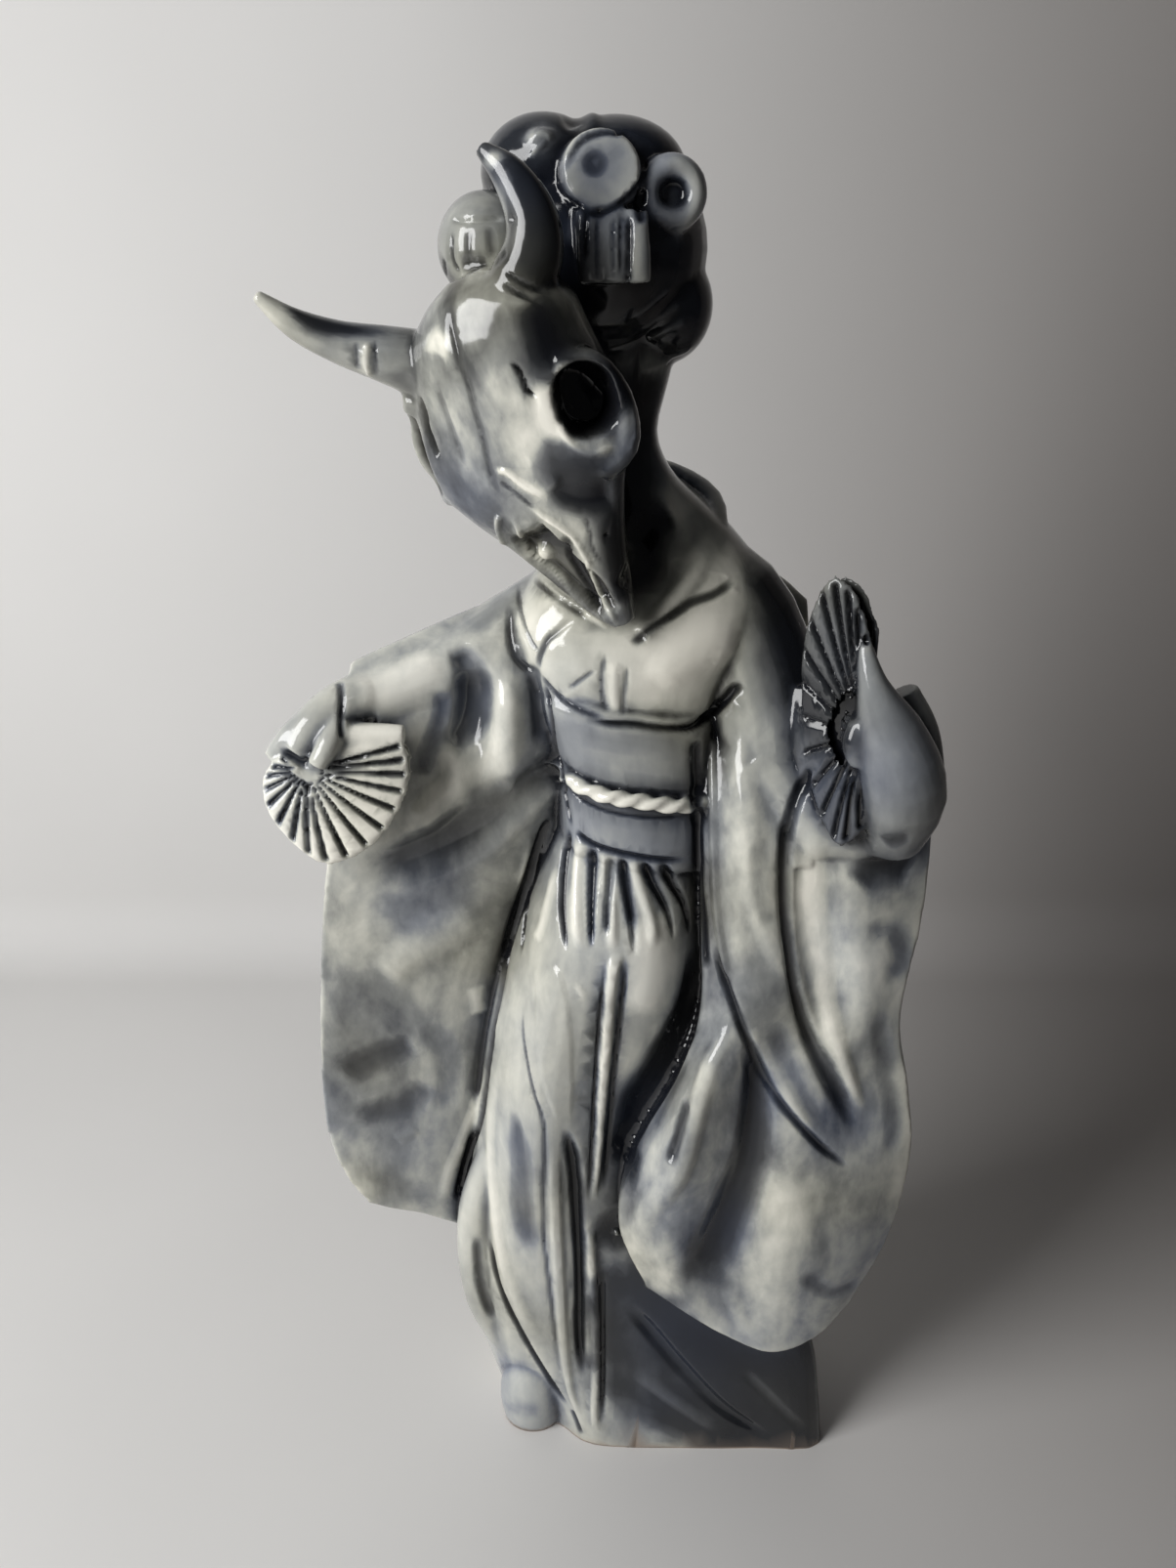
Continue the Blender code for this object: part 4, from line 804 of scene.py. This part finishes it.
# Skull
draw_all([
    ((425, 380, 432, 430, 455, 485), 1.3, 0.0, 0.5, 0.75),
    ((480, 290, 500, 330, 512, 360), (1.4, 1.6, 1.2), 0.0, 0.42, 0.8),
    ((440, 300, 455, 345), 0.9, 0.0, 0.6, 0.6),
    ((488, 380, 506, 415, 530, 445, 560, 458), (1.0, 1.6, 1.7, 1.0), 0.0, 0.9),
    ((470, 455, 484, 485, 500, 510), 0.8, 0.0, 0.8, 0.7),
    ((505, 395, 520, 440, 540, 470), 0.8, 0.0, 0.55, 0.6),
    ((459, 283, 490, 283, 520, 290), 1.6, 0.0, 0.4, 0.8),
    ((470, 330, 480, 380, 500, 430, 510, 480), 1.4, 0.0, 0.5, 0.6),
    ((430, 400, 445, 450, 470, 500, 500, 530), 1.6, 0.0, 0.36, 0.75),
    ((500, 300, 498, 340, 506, 372), 0.6, 0.0, 0.28, 0.7),
    ((470, 296, 474, 330, 484, 366), 0.5, 0.0, 0.7, 0.6),
    ((520, 480, 545, 492, 562, 512), 0.7, 0.0, 0.5, 0.6),
    ((455, 400, 470, 440, 480, 470), 0.5, 0.0, 0.78, 0.6),
    # Right side of the crown: dark paint, partly dark glaze and partly painted shade
    ((535, 300, 552, 330, 566, 362, 580, 378), (1.6, 2.6, 2.4, 1.2), 0.0, 0.0, 1.0),
    ((518, 305, 522, 335, 530, 365), 1.0, 0.0, 0.34, 0.8),
    ((540, 395, 552, 410, 560, 440), 0.9, 0.0, 0.62, 0.7),
    ((460, 302, 462, 327, 467, 352, 473, 371, 481, 393, 485, 410, 490, 427, 496, 449, 501, 474, 507,
     491, 515, 510), 0.26, 0.14, 0.32, 0.85, 0.9, 0.18, 1.8),
    ((446, 382, 450, 399, 460, 427, 469, 452, 478, 477), 0.25, 0.12, 0.4, 0.85, 0.9, 0.18, 1.7),
    ((428, 399, 433, 416, 436, 432, 444, 454, 450, 467), (0.3, 0.5, 0.45, 0.3), 0.5, 0.04),
    ((515, 330, 512, 350, 522, 372), 1.1, 0.0, 0.4, 0.6),
    ((528, 372, 530, 400, 528, 430), 0.6, 0.0, 0.42, 0.6),
    ((522, 365, 531, 374, 536, 385, 540, 396, 546, 400, 547, 407), 0.16, 0.35, 0.0),
    ((572, 388, 572, 420, 582, 446, 606, 459, 636, 450), 0.32, -0.16, 0.95),
    ((648, 412, 651, 438, 645, 460), 0.14, -0.1, 0.5),
    ((560, 386, 561, 410, 566, 432, 580, 452), 0.8, -0.06, 1.0, 0.95),
    ((540, 455, 570, 466, 600, 474, 635, 474), (1.0, 1.2, 1.2, 0.8), 0.0, 0.3, 0.8),
    ((480, 290, 540, 300), (1.0, 1.6), 0.0, 0.4, 0.7),
    ((425, 380, 440, 430, 455, 480), 0.9, 0.0, 0.5, 0.6),
    ((520, 440, 525, 470), 0.9, 0.0, 0.6, 0.5),
    # Painted shadow under the cheek
    ((566, 490, 586, 499, 610, 501, 634, 494), (0.8, 1.6, 1.7, 1.3), 0.3, 0.0, 1.0),
    ((548, 466, 575, 478, 612, 484), (1.1, 1.6, 1.2), 0.0, 0.08, 0.95),
    ((507, 478, 519, 479, 539, 494, 567, 507), 0.26, -0.14, 1.0, 0.85, 0.6),
    ((511, 488, 525, 498, 550, 518), 0.14, 0.1, 0.1),
    # Painted shade along the muzzle's right side
    ((622, 510, 632, 570, 638, 620), (1.3, 1.3, 0.8), 0.0, 0.08, 0.95),
    ((621, 543), 0.2, 0.25, 0.0),
    ((600, 522, 604, 543, 608, 560, 619, 574), 0.13, 0.1, 0.12),
    ((575, 540, 592, 575, 606, 600, 622, 630), (0.5, 0.6, 0.5, 0.3), 0.3, 0.03),
    ((526, 530, 545, 556, 572, 588, 602, 616), (0.8, 1.2, 1.2, 0.8), 0.0, 0.34, 0.9),
    ((517, 556, 535, 576, 557, 597, 582, 615, 608, 631), 0.28, 0.25, 0.0, 1.0),
    ((522, 521, 536, 549, 544, 563, 567, 579, 589, 604, 597, 611), 0.24, -0.24, 0.85),
    ((560, 559), 0.75, -0.5, 0.95, 0.85, 0.7),
    ((511, 521, 510, 535, 517, 552, 533, 572, 556, 594, 581, 613, 608, 629, 631, 642), 0.32, -0.3,
     0.85),
    ((539, 511, 556, 524, 578, 539, 590, 551, 603, 574, 614, 602, 628, 629, 633, 640), 0.26, -0.2,
     0.85),
    # Painted reflection of the window on the skull
    ((450, 330, 446, 365), 0.8, 0.0, 0.97, 0.9, 0.35),
    ((470, 430, 490, 480, 500, 520), 0.8, 0.0, 0.55, 0.5),
    ((437, 480, 465, 505, 490, 522), 0.6, 0.0, 0.45, 0.6),
])
stroke([skull_point(7.9, 5.45, -2.4)], 1.95, 0.0, tone=0.0, strength=1.0, soft=0.3)

# Horns
draw_all([
    ((515, 272, 530, 282, 548, 290, 560, 292), 0.2, 0.16, 0.15),
    ((513, 284, 528, 294, 546, 302, 559, 305), 0.2, 0.16, 0.15),
    ((520, 165, 532, 185, 546, 215, 552, 250), 0.9, 0.0, 0.12, 0.9),
    ((506, 160, 522, 190, 530, 225, 524, 262), 0.35, 0.0, 0.5, 0.7),
    ((545, 170, 562, 198, 575, 230, 582, 262), (0.5, 0.8, 0.9, 0.9), 0.0, 0.07, 0.9),
    ((500, 148, 512, 165), 0.8, 0.0, 0.93, 0.8),
    ((365, 345, 364, 362, 366, 378), 0.14, 0.14, 0.2),
    ((376, 345, 374, 364, 378, 382), 0.2, -0.14, 1.0),
    ((385, 342, 383, 364, 386, 388), 0.14, 0.14, 0.2),
    ((290, 305, 320, 325, 355, 332, 405, 333), (0.3, 0.6, 0.7, 0.6), 0.0, 0.05, 0.9),
    ((405, 372, 418, 400), 0.9, 0.0, 0.32, 0.7),
    ((262, 304, 290, 330), 0.5, 0.0, 0.85, 0.7),
])

# Hair, flower, loop and ribbons
draw_all([
    ((462, 219, 475, 221, 505, 219, 527, 219), 0.22, 0.25, 0.06),
    ((480, 214, 505, 212), 0.5, -0.05, 0.6),
])
stroke([(-11.9, -7.2, 94.6)], 3.4, 0.0, tone=0.62, strength=1.0, soft=0.5)
draw_all([
    ((470, 262, 490, 266, 508, 262, 521, 250), 0.5, 0.1, 0.16),
    ((480, 230, 479, 250, 484, 270), 0.3, 0.1, 0.3),
    ((500, 226, 502, 246, 505, 258), 0.3, 0.08, 0.3),
    ((454, 259, 457, 280), 0.16, 0.14, 0.1),
    ((463, 232, 463, 259, 471, 275), 0.16, 0.14, 0.1),
    ((455, 240, 452, 262), 0.4, 0.0, 0.6),
    ((566, 186, 584, 158, 600, 137, 625, 129, 643, 136, 653, 150, 659, 168, 654, 184, 642, 198, 625,
     208, 608, 213, 590, 204, 566, 186), 0.3, 0.2, 0.05),
    ((588, 175, 598, 150, 622, 143, 640, 160, 633, 188, 611, 198, 592, 184), 0.6, 0.0, 0.68, 0.9),
    ((609, 163), 0.8, 0.12, 0.22, 0.95, 0.6),
    ((612, 160), 0.3, -0.15, 0.4),
    ((541, 157, 550, 147, 560, 139), 0.16, -0.12, 0.9),
    ((546, 140, 556, 138, 566, 142), 1.2, 0.0, 0.38, 0.9),
    ((546, 134, 556, 131, 566, 137), 0.25, -0.1, 0.7),
    ((668, 170, 690, 160, 710, 175, 714, 205, 700, 230, 675, 230), 0.8, -0.05, 0.8),
    ((681, 198), 0.9, 0.0, 0.3, 0.9, 0.6),
    ((657, 185, 655, 205, 660, 225), 0.45, 0.2, 0.02),
    ((585, 215, 583, 250), 0.6, 0.0, 0.4),
    ((615, 215, 618, 250, 620, 285), 0.8, 0.0, 0.66),
    ((650, 220, 651, 255, 650, 290), 0.5, 0.0, 0.7),
    ((644, 214, 644, 250, 643, 292), 0.2, 0.3, 0.03),
    ((600, 208, 599, 235, 598, 262), 0.2, 0.2, 0.05),
])
for groove in (612, 628, 636):
    draw([(groove, 214), (groove - 1, 250), (groove, 286)], 0.13, 0.14, tone=0.25)
NAPE_STREAKS = [(687, 289, 641, 327), (698, 304, 648, 339), (703, 323, 657, 345),
                (710, 350, 650, 380)]
for streak in NAPE_STREAKS:
    draw(streak, 0.32, -0.12, tone=0.5, strength=0.7)
draw_all([
    ((598, 123, 580, 132), 0.22, -0.05, 0.5),
    ((606, 130, 590, 142), 0.22, -0.05, 0.5),
])
# Neck: dark paint, partly dark glaze and partly painted shade
stroke([(-3.6, -2.6, 87.0), (-3.6, -2.8, 83.0), (-3.9, -3.0, 79.8), (-4.2, -4.2, 77.0)],
       (3.4, 3.4, 2.8, 1.8), 0.0, tone=0.02, strength=1.0, fade=0.05)
draw_all([
    ((700, 520, 720, 540, 742, 565), 1.8, 0.0, 0.62, 0.9),
    # Painted shadow between the skull and the neck
    ((660, 500, 665, 560, 650, 610), (1.0, 1.5, 1.0), 0.0, 0.0, 1.0),
    ((676, 400, 680, 440, 696, 485), 0.5, 0.0, 0.45, 0.7),
    ((684, 580, 684, 610), 0.9, 0.0, 0.42, 0.6),
])

# Painted shadow in the gap between the viewer's right fan and its sleeve
draw([(862, 735), (866, 750), (862, 765)], 0.9, 0.0, tone=0.1, strength=0.9, fade=0)

# Ribs of the two fans, cut on both faces
LEFT_FAN_RIBS = 17
RIGHT_FAN_RIBS = 15
RIB_PLACES = (0.12, 0.35, 0.6, 0.8, 0.97)
RIB_RADII = (0.05, 0.13, 0.2, 0.25, 0.3)
RIB_DEPTH = 0.4


def rib_fan(pivot, rim, facing, thickness, bulge, count):
    """Grooves that widen from the pivot to the rim, on both faces of an open fan."""
    facing = unit_vector(facing)
    for end in smooth_path(rim, count):
        spoke = end - pivot
        for face in (1, -1):
            steps = [pivot + spoke * share + facing * (bulge * math.sin(math.pi * min(share, 0.95))
                                                       + face * thickness / 2)
                     for share in RIB_PLACES]
            stroke(steps, RIB_RADII, RIB_DEPTH, tone=0.0, strength=1.0, spread=1.1, fade=0.05)


rib_fan(LEFT_FAN[0], LEFT_FAN[1][2:], *LEFT_FAN[2:], LEFT_FAN_RIBS)
rib_fan(*RIGHT_FAN, RIGHT_FAN_RIBS)


def read_net():
    """Both ends of each edge of the skin, and the number of edges at each point."""
    pairs = np.empty(len(skin.edges) * 2, int)
    skin.edges.foreach_get("vertices", pairs)
    first, second = pairs[::2], pairs[1::2]
    links = np.bincount(first, minlength=len(points)) + np.bincount(second, minlength=len(points))
    return first, second, links


def average_step(values, first, second, links):
    """Each value moved half the way to the average of its neighbours on the net."""
    gathered = (np.bincount(first, values[second], len(values))
                + np.bincount(second, values[first], len(values)))
    return 0.5 * values + 0.5 * gathered / links


def blend_over_net(values, steps):
    """Smooth values over the mesh, so that they run softly from form to form."""
    net = read_net()
    for step in range(steps):
        values = average_step(values, *net)
    return values


def relief(steps):
    """How far the skin lies under its own average after each of the given numbers of steps."""
    net = read_net()
    even = points.copy()
    found = []
    for step in range(1, max(steps) + 1):
        for axis in range(3):
            even[:, axis] = average_step(even[:, axis], *net)
        if step in steps:
            found.append(((even - points) * normals).sum(axis=1))
    return found


# Hollows and ridges of the fine net at three widths: steps, then how much a hollow darkens and
# its cap, and how much a ridge lightens and its cap
RELIEF_TONES = [(8, 2.2, 0.12, 0.9, 0.08), (40, 1.5, 0.25, 0.4, 0.2), (140, 0.4, 0.6, 0.05, 0.6)]
update_normals()
hollows = relief([row[0] for row in RELIEF_TONES])
hollow_tree = KDTree(len(points))
for index, place in enumerate(points):
    hollow_tree.insert(place, index)
hollow_tree.balance()

# Flat underside, with the origin in it
work = bmesh.new()
work.from_mesh(skin)
cut = bmesh.ops.bisect_plane(work, geom=work.verts[:] + work.edges[:] + work.faces[:],
                             plane_co=(0, 0, UNDERSIDE_LEVEL * UNIT), plane_no=(0, 0, 1),
                             clear_inner=True)
rim_edges = [item for item in cut["geom_cut"] if isinstance(item, bmesh.types.BMEdge)]
bmesh.ops.holes_fill(work, edges=rim_edges, sides=0)
bmesh.ops.triangulate(work, faces=work.faces[:])
work.to_mesh(skin)
work.free()

reduce = figurine.modifiers.new("reduce", "DECIMATE")
reduce.ratio = TRIANGLES / len(skin.polygons)
reduce.use_collapse_triangulate = True
skin = apply_modifiers(figurine)
skin.polygons.foreach_set("use_smooth", np.ones(len(skin.polygons), bool))
points = read_vectors(skin.vertices, "co") / UNIT
normals = read_vectors(skin.vertices, "normal")

# What each point of the reduced net takes from the fine one, and the form it belongs to
REGION_TONES = {"skirt": 0.72, "sash": 0.6, "chest": 0.86, "collar": 0.75, "arms": 0.72,
                "left_sleeve": 0.66, "right_sleeve": 0.66, "hem": 0.66, "cord": 0.92, "bow": 0.7,
                "hair": 0.10, "flower": 0.66, "ribbons": 0.5, "skull": 0.48, "right_horn": 0.12,
                "left_horn": 0.6, "left_fan": 0.94, "left_hand": 0.7, "right_fan": 0.36,
                "right_hand": 0.5}
REGION_MOTTLE = {"skirt": 0.5, "sash": 0.25, "chest": 0.4, "left_sleeve": 0.8, "right_sleeve": 0.8,
                 "skull": 1.1, "hair": 0.4}
PLAIN_MOTTLE = 0.4
total = len(points)
nearest_fine = np.empty(total, int)
tone = np.empty(total)
mottle = np.empty(total)
for index, place in enumerate(points):
    nearest = hollow_tree.find(place)[1]
    nearest_fine[index] = nearest
    face = form_tree.find_nearest(Vector(place) * UNIT)[2]
    name = regions[int(np.searchsorted(face_starts, face, side="right")) - 1][0]
    tone[index] = REGION_TONES[name]
    mottle[index] = REGION_MOTTLE.get(name, PLAIN_MOTTLE)

# Open sky over each point
SKY_RAYS = 12
SKY_REACH = 14.0
SKY_LIFT = 0.08
SKY_LEAN = 0.9
SKY_BLEND = 6
body_tree = grow_tree(3)
golden = math.pi * (3 - math.sqrt(5))
heights = 1 - (np.arange(SKY_RAYS) + 0.5) / SKY_RAYS
spread = np.sqrt(1 - heights ** 2)
turn = golden * np.arange(SKY_RAYS)
rays = np.column_stack([spread * np.cos(turn), spread * np.sin(turn), heights * SKY_LEAN + 1 - SKY_LEAN])
sky = np.ones(total)
for index in range(total):
    outward = Vector(normals[index])
    turned = outward.to_track_quat("Z", "Y").to_matrix()
    start = Vector(points[index]) + outward * SKY_LIFT
    blocked = 0
    for ray in rays:
        if body_tree.ray_cast(start, turned @ Vector(ray), SKY_REACH)[0] is not None:
            blocked += 1
    sky[index] = 1 - blocked / SKY_RAYS
sky = blend_over_net(sky, SKY_BLEND)

# Glaze: pooled dark in hollows, worn thin and pale on ridges, and darker and warmer under little sky,
# partly as pooled glaze and partly as painted shade
FORM_BLEND = 10
OPEN_SKY = 0.85
SHADE_DARKENS = 0.75
WARMTH_MIDDLE = 0.5
WARMTH_OF_SHADE = 0.55
WARMTH_SKY = 0.9
WARMTH_DRIFT = 0.8
WARMTH_SCALE = 0.12
WARMTH_START = Vector((7, 3, 1))
BARE_LEVEL = UNDERSIDE_LEVEL + 0.25
BARE_FADE = 0.2
tone = blend_over_net(tone, FORM_BLEND)
mottle = blend_over_net(mottle, FORM_BLEND)
for values, row in zip(hollows, RELIEF_TONES):
    hollow = values[nearest_fine]
    darkens, deepest, lightens, highest = row[1:]
    tone += lightens * np.clip(-hollow, 0, highest) - darkens * np.clip(hollow, 0, deepest)
# Darker under little sky: partly pooled glaze, partly painted shade
tone -= SHADE_DARKENS * np.clip(OPEN_SKY - sky, 0, OPEN_SKY)
tone = tone * (1 - cover[nearest_fine]) + glaze_and_painted_light[nearest_fine]
tone = blend_over_net(np.clip(tone, 0, 1), 1)
# Warmer, olive hue under little sky: painted shade colour, drifting with random noise
warm_drift = np.array([noise.noise(Vector(place) * WARMTH_SCALE + WARMTH_START) for place in points])
warmth = np.clip(WARMTH_OF_SHADE * (WARMTH_SKY - sky) + WARMTH_MIDDLE + WARMTH_DRIFT * warm_drift, 0, 1)
bare = np.clip((BARE_LEVEL - points[:, 2]) / BARE_FADE, 0, 1)

points[:, 2] -= UNDERSIDE_LEVEL
low, high = np.array(cad_box[0]), np.array(cad_box[1])
skin.vertices.foreach_set("co", np.clip(points * UNIT, low, high).ravel())
for name, values in (("tone", tone), ("mottle", mottle), ("warmth", warmth), ("bare", bare)):
    skin.attributes.new(name, "FLOAT", "POINT").data.foreach_set("value", values.astype(np.float32))
skin.update()


# Glaze material
class Graph:
    """Short calls for building a node tree."""

    def __init__(self, material):
        material.use_nodes = True
        self.tree = material.node_tree
        self.shader = self.tree.nodes["Principled BSDF"]

    def add(self, kind, **settings):
        node = self.tree.nodes.new(kind)
        for key, value in settings.items():
            setattr(node, key, value)
        return node

    def link(self, output, entry):
        self.tree.links.new(output, entry)

    def attribute(self, name):
        return self.add("ShaderNodeAttribute", attribute_name=name).outputs["Fac"]

    def maths(self, operation, *values, clamp=False):
        node = self.add("ShaderNodeMath", operation=operation, use_clamp=clamp)
        for place, value in enumerate(values):
            if isinstance(value, (int, float)):
                node.inputs[place].default_value = value
            else:
                self.link(value, node.inputs[place])
        return node.outputs[0]

    def noise(self, place, scale, detail, distortion=0.0):
        node = self.add("ShaderNodeTexNoise")
        node.inputs["Scale"].default_value = scale
        node.inputs["Detail"].default_value = detail
        node.inputs["Distortion"].default_value = distortion
        self.link(place, node.inputs["Vector"])
        return node.outputs["Fac"]

    def ramp(self, factor, stops):
        node = self.add("ShaderNodeValToRGB")
        while len(node.color_ramp.elements) < len(stops):
            node.color_ramp.elements.new(0.5)
        for element, (place, colour) in zip(node.color_ramp.elements, stops):
            element.position = place
            element.color = (*colour, 1.0)
        self.link(factor, node.inputs[0])
        return node.outputs[0]

    def mix(self, factor, first, second):
        node = self.add("ShaderNodeMix", data_type="RGBA")
        self.link(factor, node.inputs["Factor"])
        self.link(first, node.inputs["A"])
        if isinstance(second, tuple):
            node.inputs["B"].default_value = (*second, 1.0)
        else:
            self.link(second, node.inputs["B"])
        return node.outputs["Result"]


COOL_GLAZE = [(0.0, (0.006, 0.008, 0.014)), (0.2, (0.022, 0.028, 0.045)), (0.4, (0.085, 0.100, 0.140)),
              (0.6, (0.24, 0.26, 0.30)), (0.8, (0.52, 0.53, 0.50)), (1.0, (0.80, 0.79, 0.72))]
WARM_GLAZE = [(0.0, (0.008, 0.008, 0.009)), (0.2, (0.032, 0.032, 0.028)), (0.4, (0.110, 0.108, 0.092)),
              (0.6, (0.27, 0.27, 0.23)), (0.8, (0.56, 0.55, 0.47)), (1.0, (0.83, 0.80, 0.70))]
BARE_CLAY = (0.34, 0.26, 0.20)
HANG_LEAN = 0.25
HANG_STRETCH = 0.6
MOTTLE_RISE = 2.0
CLOUD_SCALE = 46.0
CLOUD_SHARE = 1.4
SPECK_SCALE = 300.0
SPECK_SHARE = 0.35
DRIFT_SCALE = 24.0
DRIFT_SHARE = 1.6
ROUGHNESS = 0.07
SPECK_ROUGHNESS = 0.08
BARE_ROUGHNESS = 0.6
GLAZE_IOR = 1.52
RIPPLE_SCALE = 110.0
RIPPLE_STRENGTH = 0.12
RIPPLE_DISTANCE = 0.0006

glaze = bpy.data.materials.new("glaze_marbled")
graph = Graph(glaze)
place = graph.add("ShaderNodeTexCoord").outputs["Object"]
hang = graph.add("ShaderNodeMapping")
hang.inputs["Rotation"].default_value = (0.0, HANG_LEAN, 0.0)
hang.inputs["Scale"].default_value = (1.0, 1.0, HANG_STRETCH)
graph.link(place, hang.inputs["Vector"])
clouds = graph.noise(hang.outputs[0], CLOUD_SCALE, 6.0, 0.5)
specks = graph.noise(hang.outputs[0], SPECK_SCALE, 5.0, 0.2)
drift = graph.noise(place, DRIFT_SCALE, 2.0, 0.3)
room = graph.maths("MULTIPLY", graph.attribute("tone"), MOTTLE_RISE, clamp=True)
room = graph.maths("MULTIPLY", room, graph.attribute("mottle"))
swing = graph.maths("MULTIPLY", graph.maths("SUBTRACT", clouds, 0.5), room)
grain = graph.maths("MULTIPLY", graph.maths("SUBTRACT", specks, 0.5), room)
depth = graph.maths("ADD", graph.attribute("tone"), graph.maths("MULTIPLY", swing, CLOUD_SHARE))
depth = graph.maths("ADD", depth, graph.maths("MULTIPLY", grain, SPECK_SHARE), clamp=True)
hue = graph.maths("MULTIPLY_ADD", drift, DRIFT_SHARE, -DRIFT_SHARE / 2)
hue = graph.maths("ADD", graph.attribute("warmth"), hue, clamp=True)
colour = graph.mix(hue, graph.ramp(depth, COOL_GLAZE), graph.ramp(depth, WARM_GLAZE))
colour = graph.mix(graph.attribute("bare"), colour, BARE_CLAY)
graph.link(colour, graph.shader.inputs["Base Color"])
rough = graph.maths("MULTIPLY_ADD", specks, SPECK_ROUGHNESS, ROUGHNESS)
rough = graph.maths("MULTIPLY_ADD", graph.attribute("bare"), BARE_ROUGHNESS, rough)
graph.link(rough, graph.shader.inputs["Roughness"])
graph.shader.inputs["IOR"].default_value = GLAZE_IOR
graph.shader.inputs["Metallic"].default_value = 0.0
ripple = graph.add("ShaderNodeBump")
ripple.inputs["Strength"].default_value = RIPPLE_STRENGTH
ripple.inputs["Distance"].default_value = RIPPLE_DISTANCE
graph.link(graph.noise(place, RIPPLE_SCALE, 2.0), ripple.inputs["Height"])
graph.link(ripple.outputs[0], graph.shader.inputs["Normal"])
skin.materials.clear()
skin.materials.append(glaze)

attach(figurine, "root")
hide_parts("figurine")


# Stage: pale floor that turns up into a wall
STAGE_LIGHT_SIDE = -0.10
STAGE_DARK_SIDE = 0.32
STAGE_GRAIN = 5.0
STAGE_PAPER = [(0.3, (0.66, 0.65, 0.635)), (0.7, (0.71, 0.70, 0.685))]
STAGE_SHADE = (0.34, 0.315, 0.30)


def stage_material():
    """Plain paper, a little darker on the side away from the window."""
    material = bpy.data.materials.new("stage_paper")
    paper = Graph(material)
    spot = paper.add("ShaderNodeTexCoord").outputs["Object"]
    split = paper.add("ShaderNodeSeparateXYZ")
    paper.link(spot, split.inputs[0])
    across = paper.add("ShaderNodeMapRange", interpolation_type="SMOOTHSTEP")
    across.inputs["From Min"].default_value = STAGE_LIGHT_SIDE
    across.inputs["From Max"].default_value = STAGE_DARK_SIDE
    paper.link(split.outputs["X"], across.inputs["Value"])
    tint = paper.ramp(paper.noise(spot, STAGE_GRAIN, 2.0), STAGE_PAPER)
    tint = paper.mix(across.outputs[0], tint, STAGE_SHADE)
    paper.link(tint, paper.shader.inputs["Base Color"])
    paper.shader.inputs["Roughness"].default_value = 0.7
    return material


STAGE_HALF = 2.2
STAGE_FRONT = -1.2
WALL_PLACE = 0.235
WALL_HEIGHT = 2.0
WALL_BEND = 0.03
BEND_STEPS = 8
profile = [(STAGE_FRONT, 0.0)]
for step in range(BEND_STEPS + 1):
    angle = math.pi / 2 * step / BEND_STEPS
    profile.append((WALL_PLACE - WALL_BEND + WALL_BEND * math.sin(angle),
                    WALL_BEND * (1 - math.cos(angle))))
profile.append((WALL_PLACE, WALL_HEIGHT))
sweep = bmesh.new()
sides = [[sweep.verts.new((side, y, z)) for y, z in profile] for side in (-STAGE_HALF, STAGE_HALF)]
for step in range(len(profile) - 1):
    sweep.faces.new((sides[0][step], sides[1][step], sides[1][step + 1], sides[0][step + 1]))
backdrop_mesh = bpy.data.meshes.new("backdrop")
sweep.to_mesh(backdrop_mesh)
sweep.free()
backdrop_mesh.polygons.foreach_set("use_smooth", [True] * len(backdrop_mesh.polygons))
backdrop_mesh.materials.append(stage_material())
backdrop = bpy.data.objects.new("backdrop", backdrop_mesh)
bpy.context.scene.collection.objects.link(backdrop)

# Light: one tall window at the left, aimed at the middle of the body, and a dim room
BODY_MIDDLE = Vector((0.0, 0.0, 0.16))
WINDOW_PLACE = Vector((-0.49, -0.33, 0.43))
WINDOW_WIDTH = 0.34
WINDOW_HEIGHT = 0.50
WINDOW_POWER = 5.0
ROOM_COLOUR = (0.30, 0.31, 0.34, 1.0)
ROOM_STRENGTH = 0.095
light = bpy.data.lights.new("window_left", "AREA")
light.shape = "RECTANGLE"
light.size = WINDOW_WIDTH
light.size_y = WINDOW_HEIGHT
light.energy = WINDOW_POWER
lamp = bpy.data.objects.new("window_left", light)
lamp.location = WINDOW_PLACE
lamp.rotation_euler = (BODY_MIDDLE - WINDOW_PLACE).to_track_quat("-Z", "Y").to_euler()
bpy.context.scene.collection.objects.link(lamp)
world = bpy.data.worlds.new("room")
bpy.context.scene.world = world
world.use_nodes = True
background = world.node_tree.nodes["Background"]
background.inputs["Color"].default_value = ROOM_COLOUR
background.inputs["Strength"].default_value = ROOM_STRENGTH

camera_data = bpy.data.cameras.new("camera")
camera_data.sensor_width = SENSOR_WIDTH
camera_data.lens = FOCAL_PIXELS * SENSOR_WIDTH / PICTURE_HEIGHT
camera = bpy.data.objects.new("camera", camera_data)
camera.location = CAMERA_PLACE * UNIT
camera.rotation_euler = (math.pi / 2 - CAMERA_PITCH, 0, 0)
bpy.context.scene.collection.objects.link(camera)
bpy.context.scene.camera = camera
bpy.context.scene.view_settings.view_transform = "Standard"
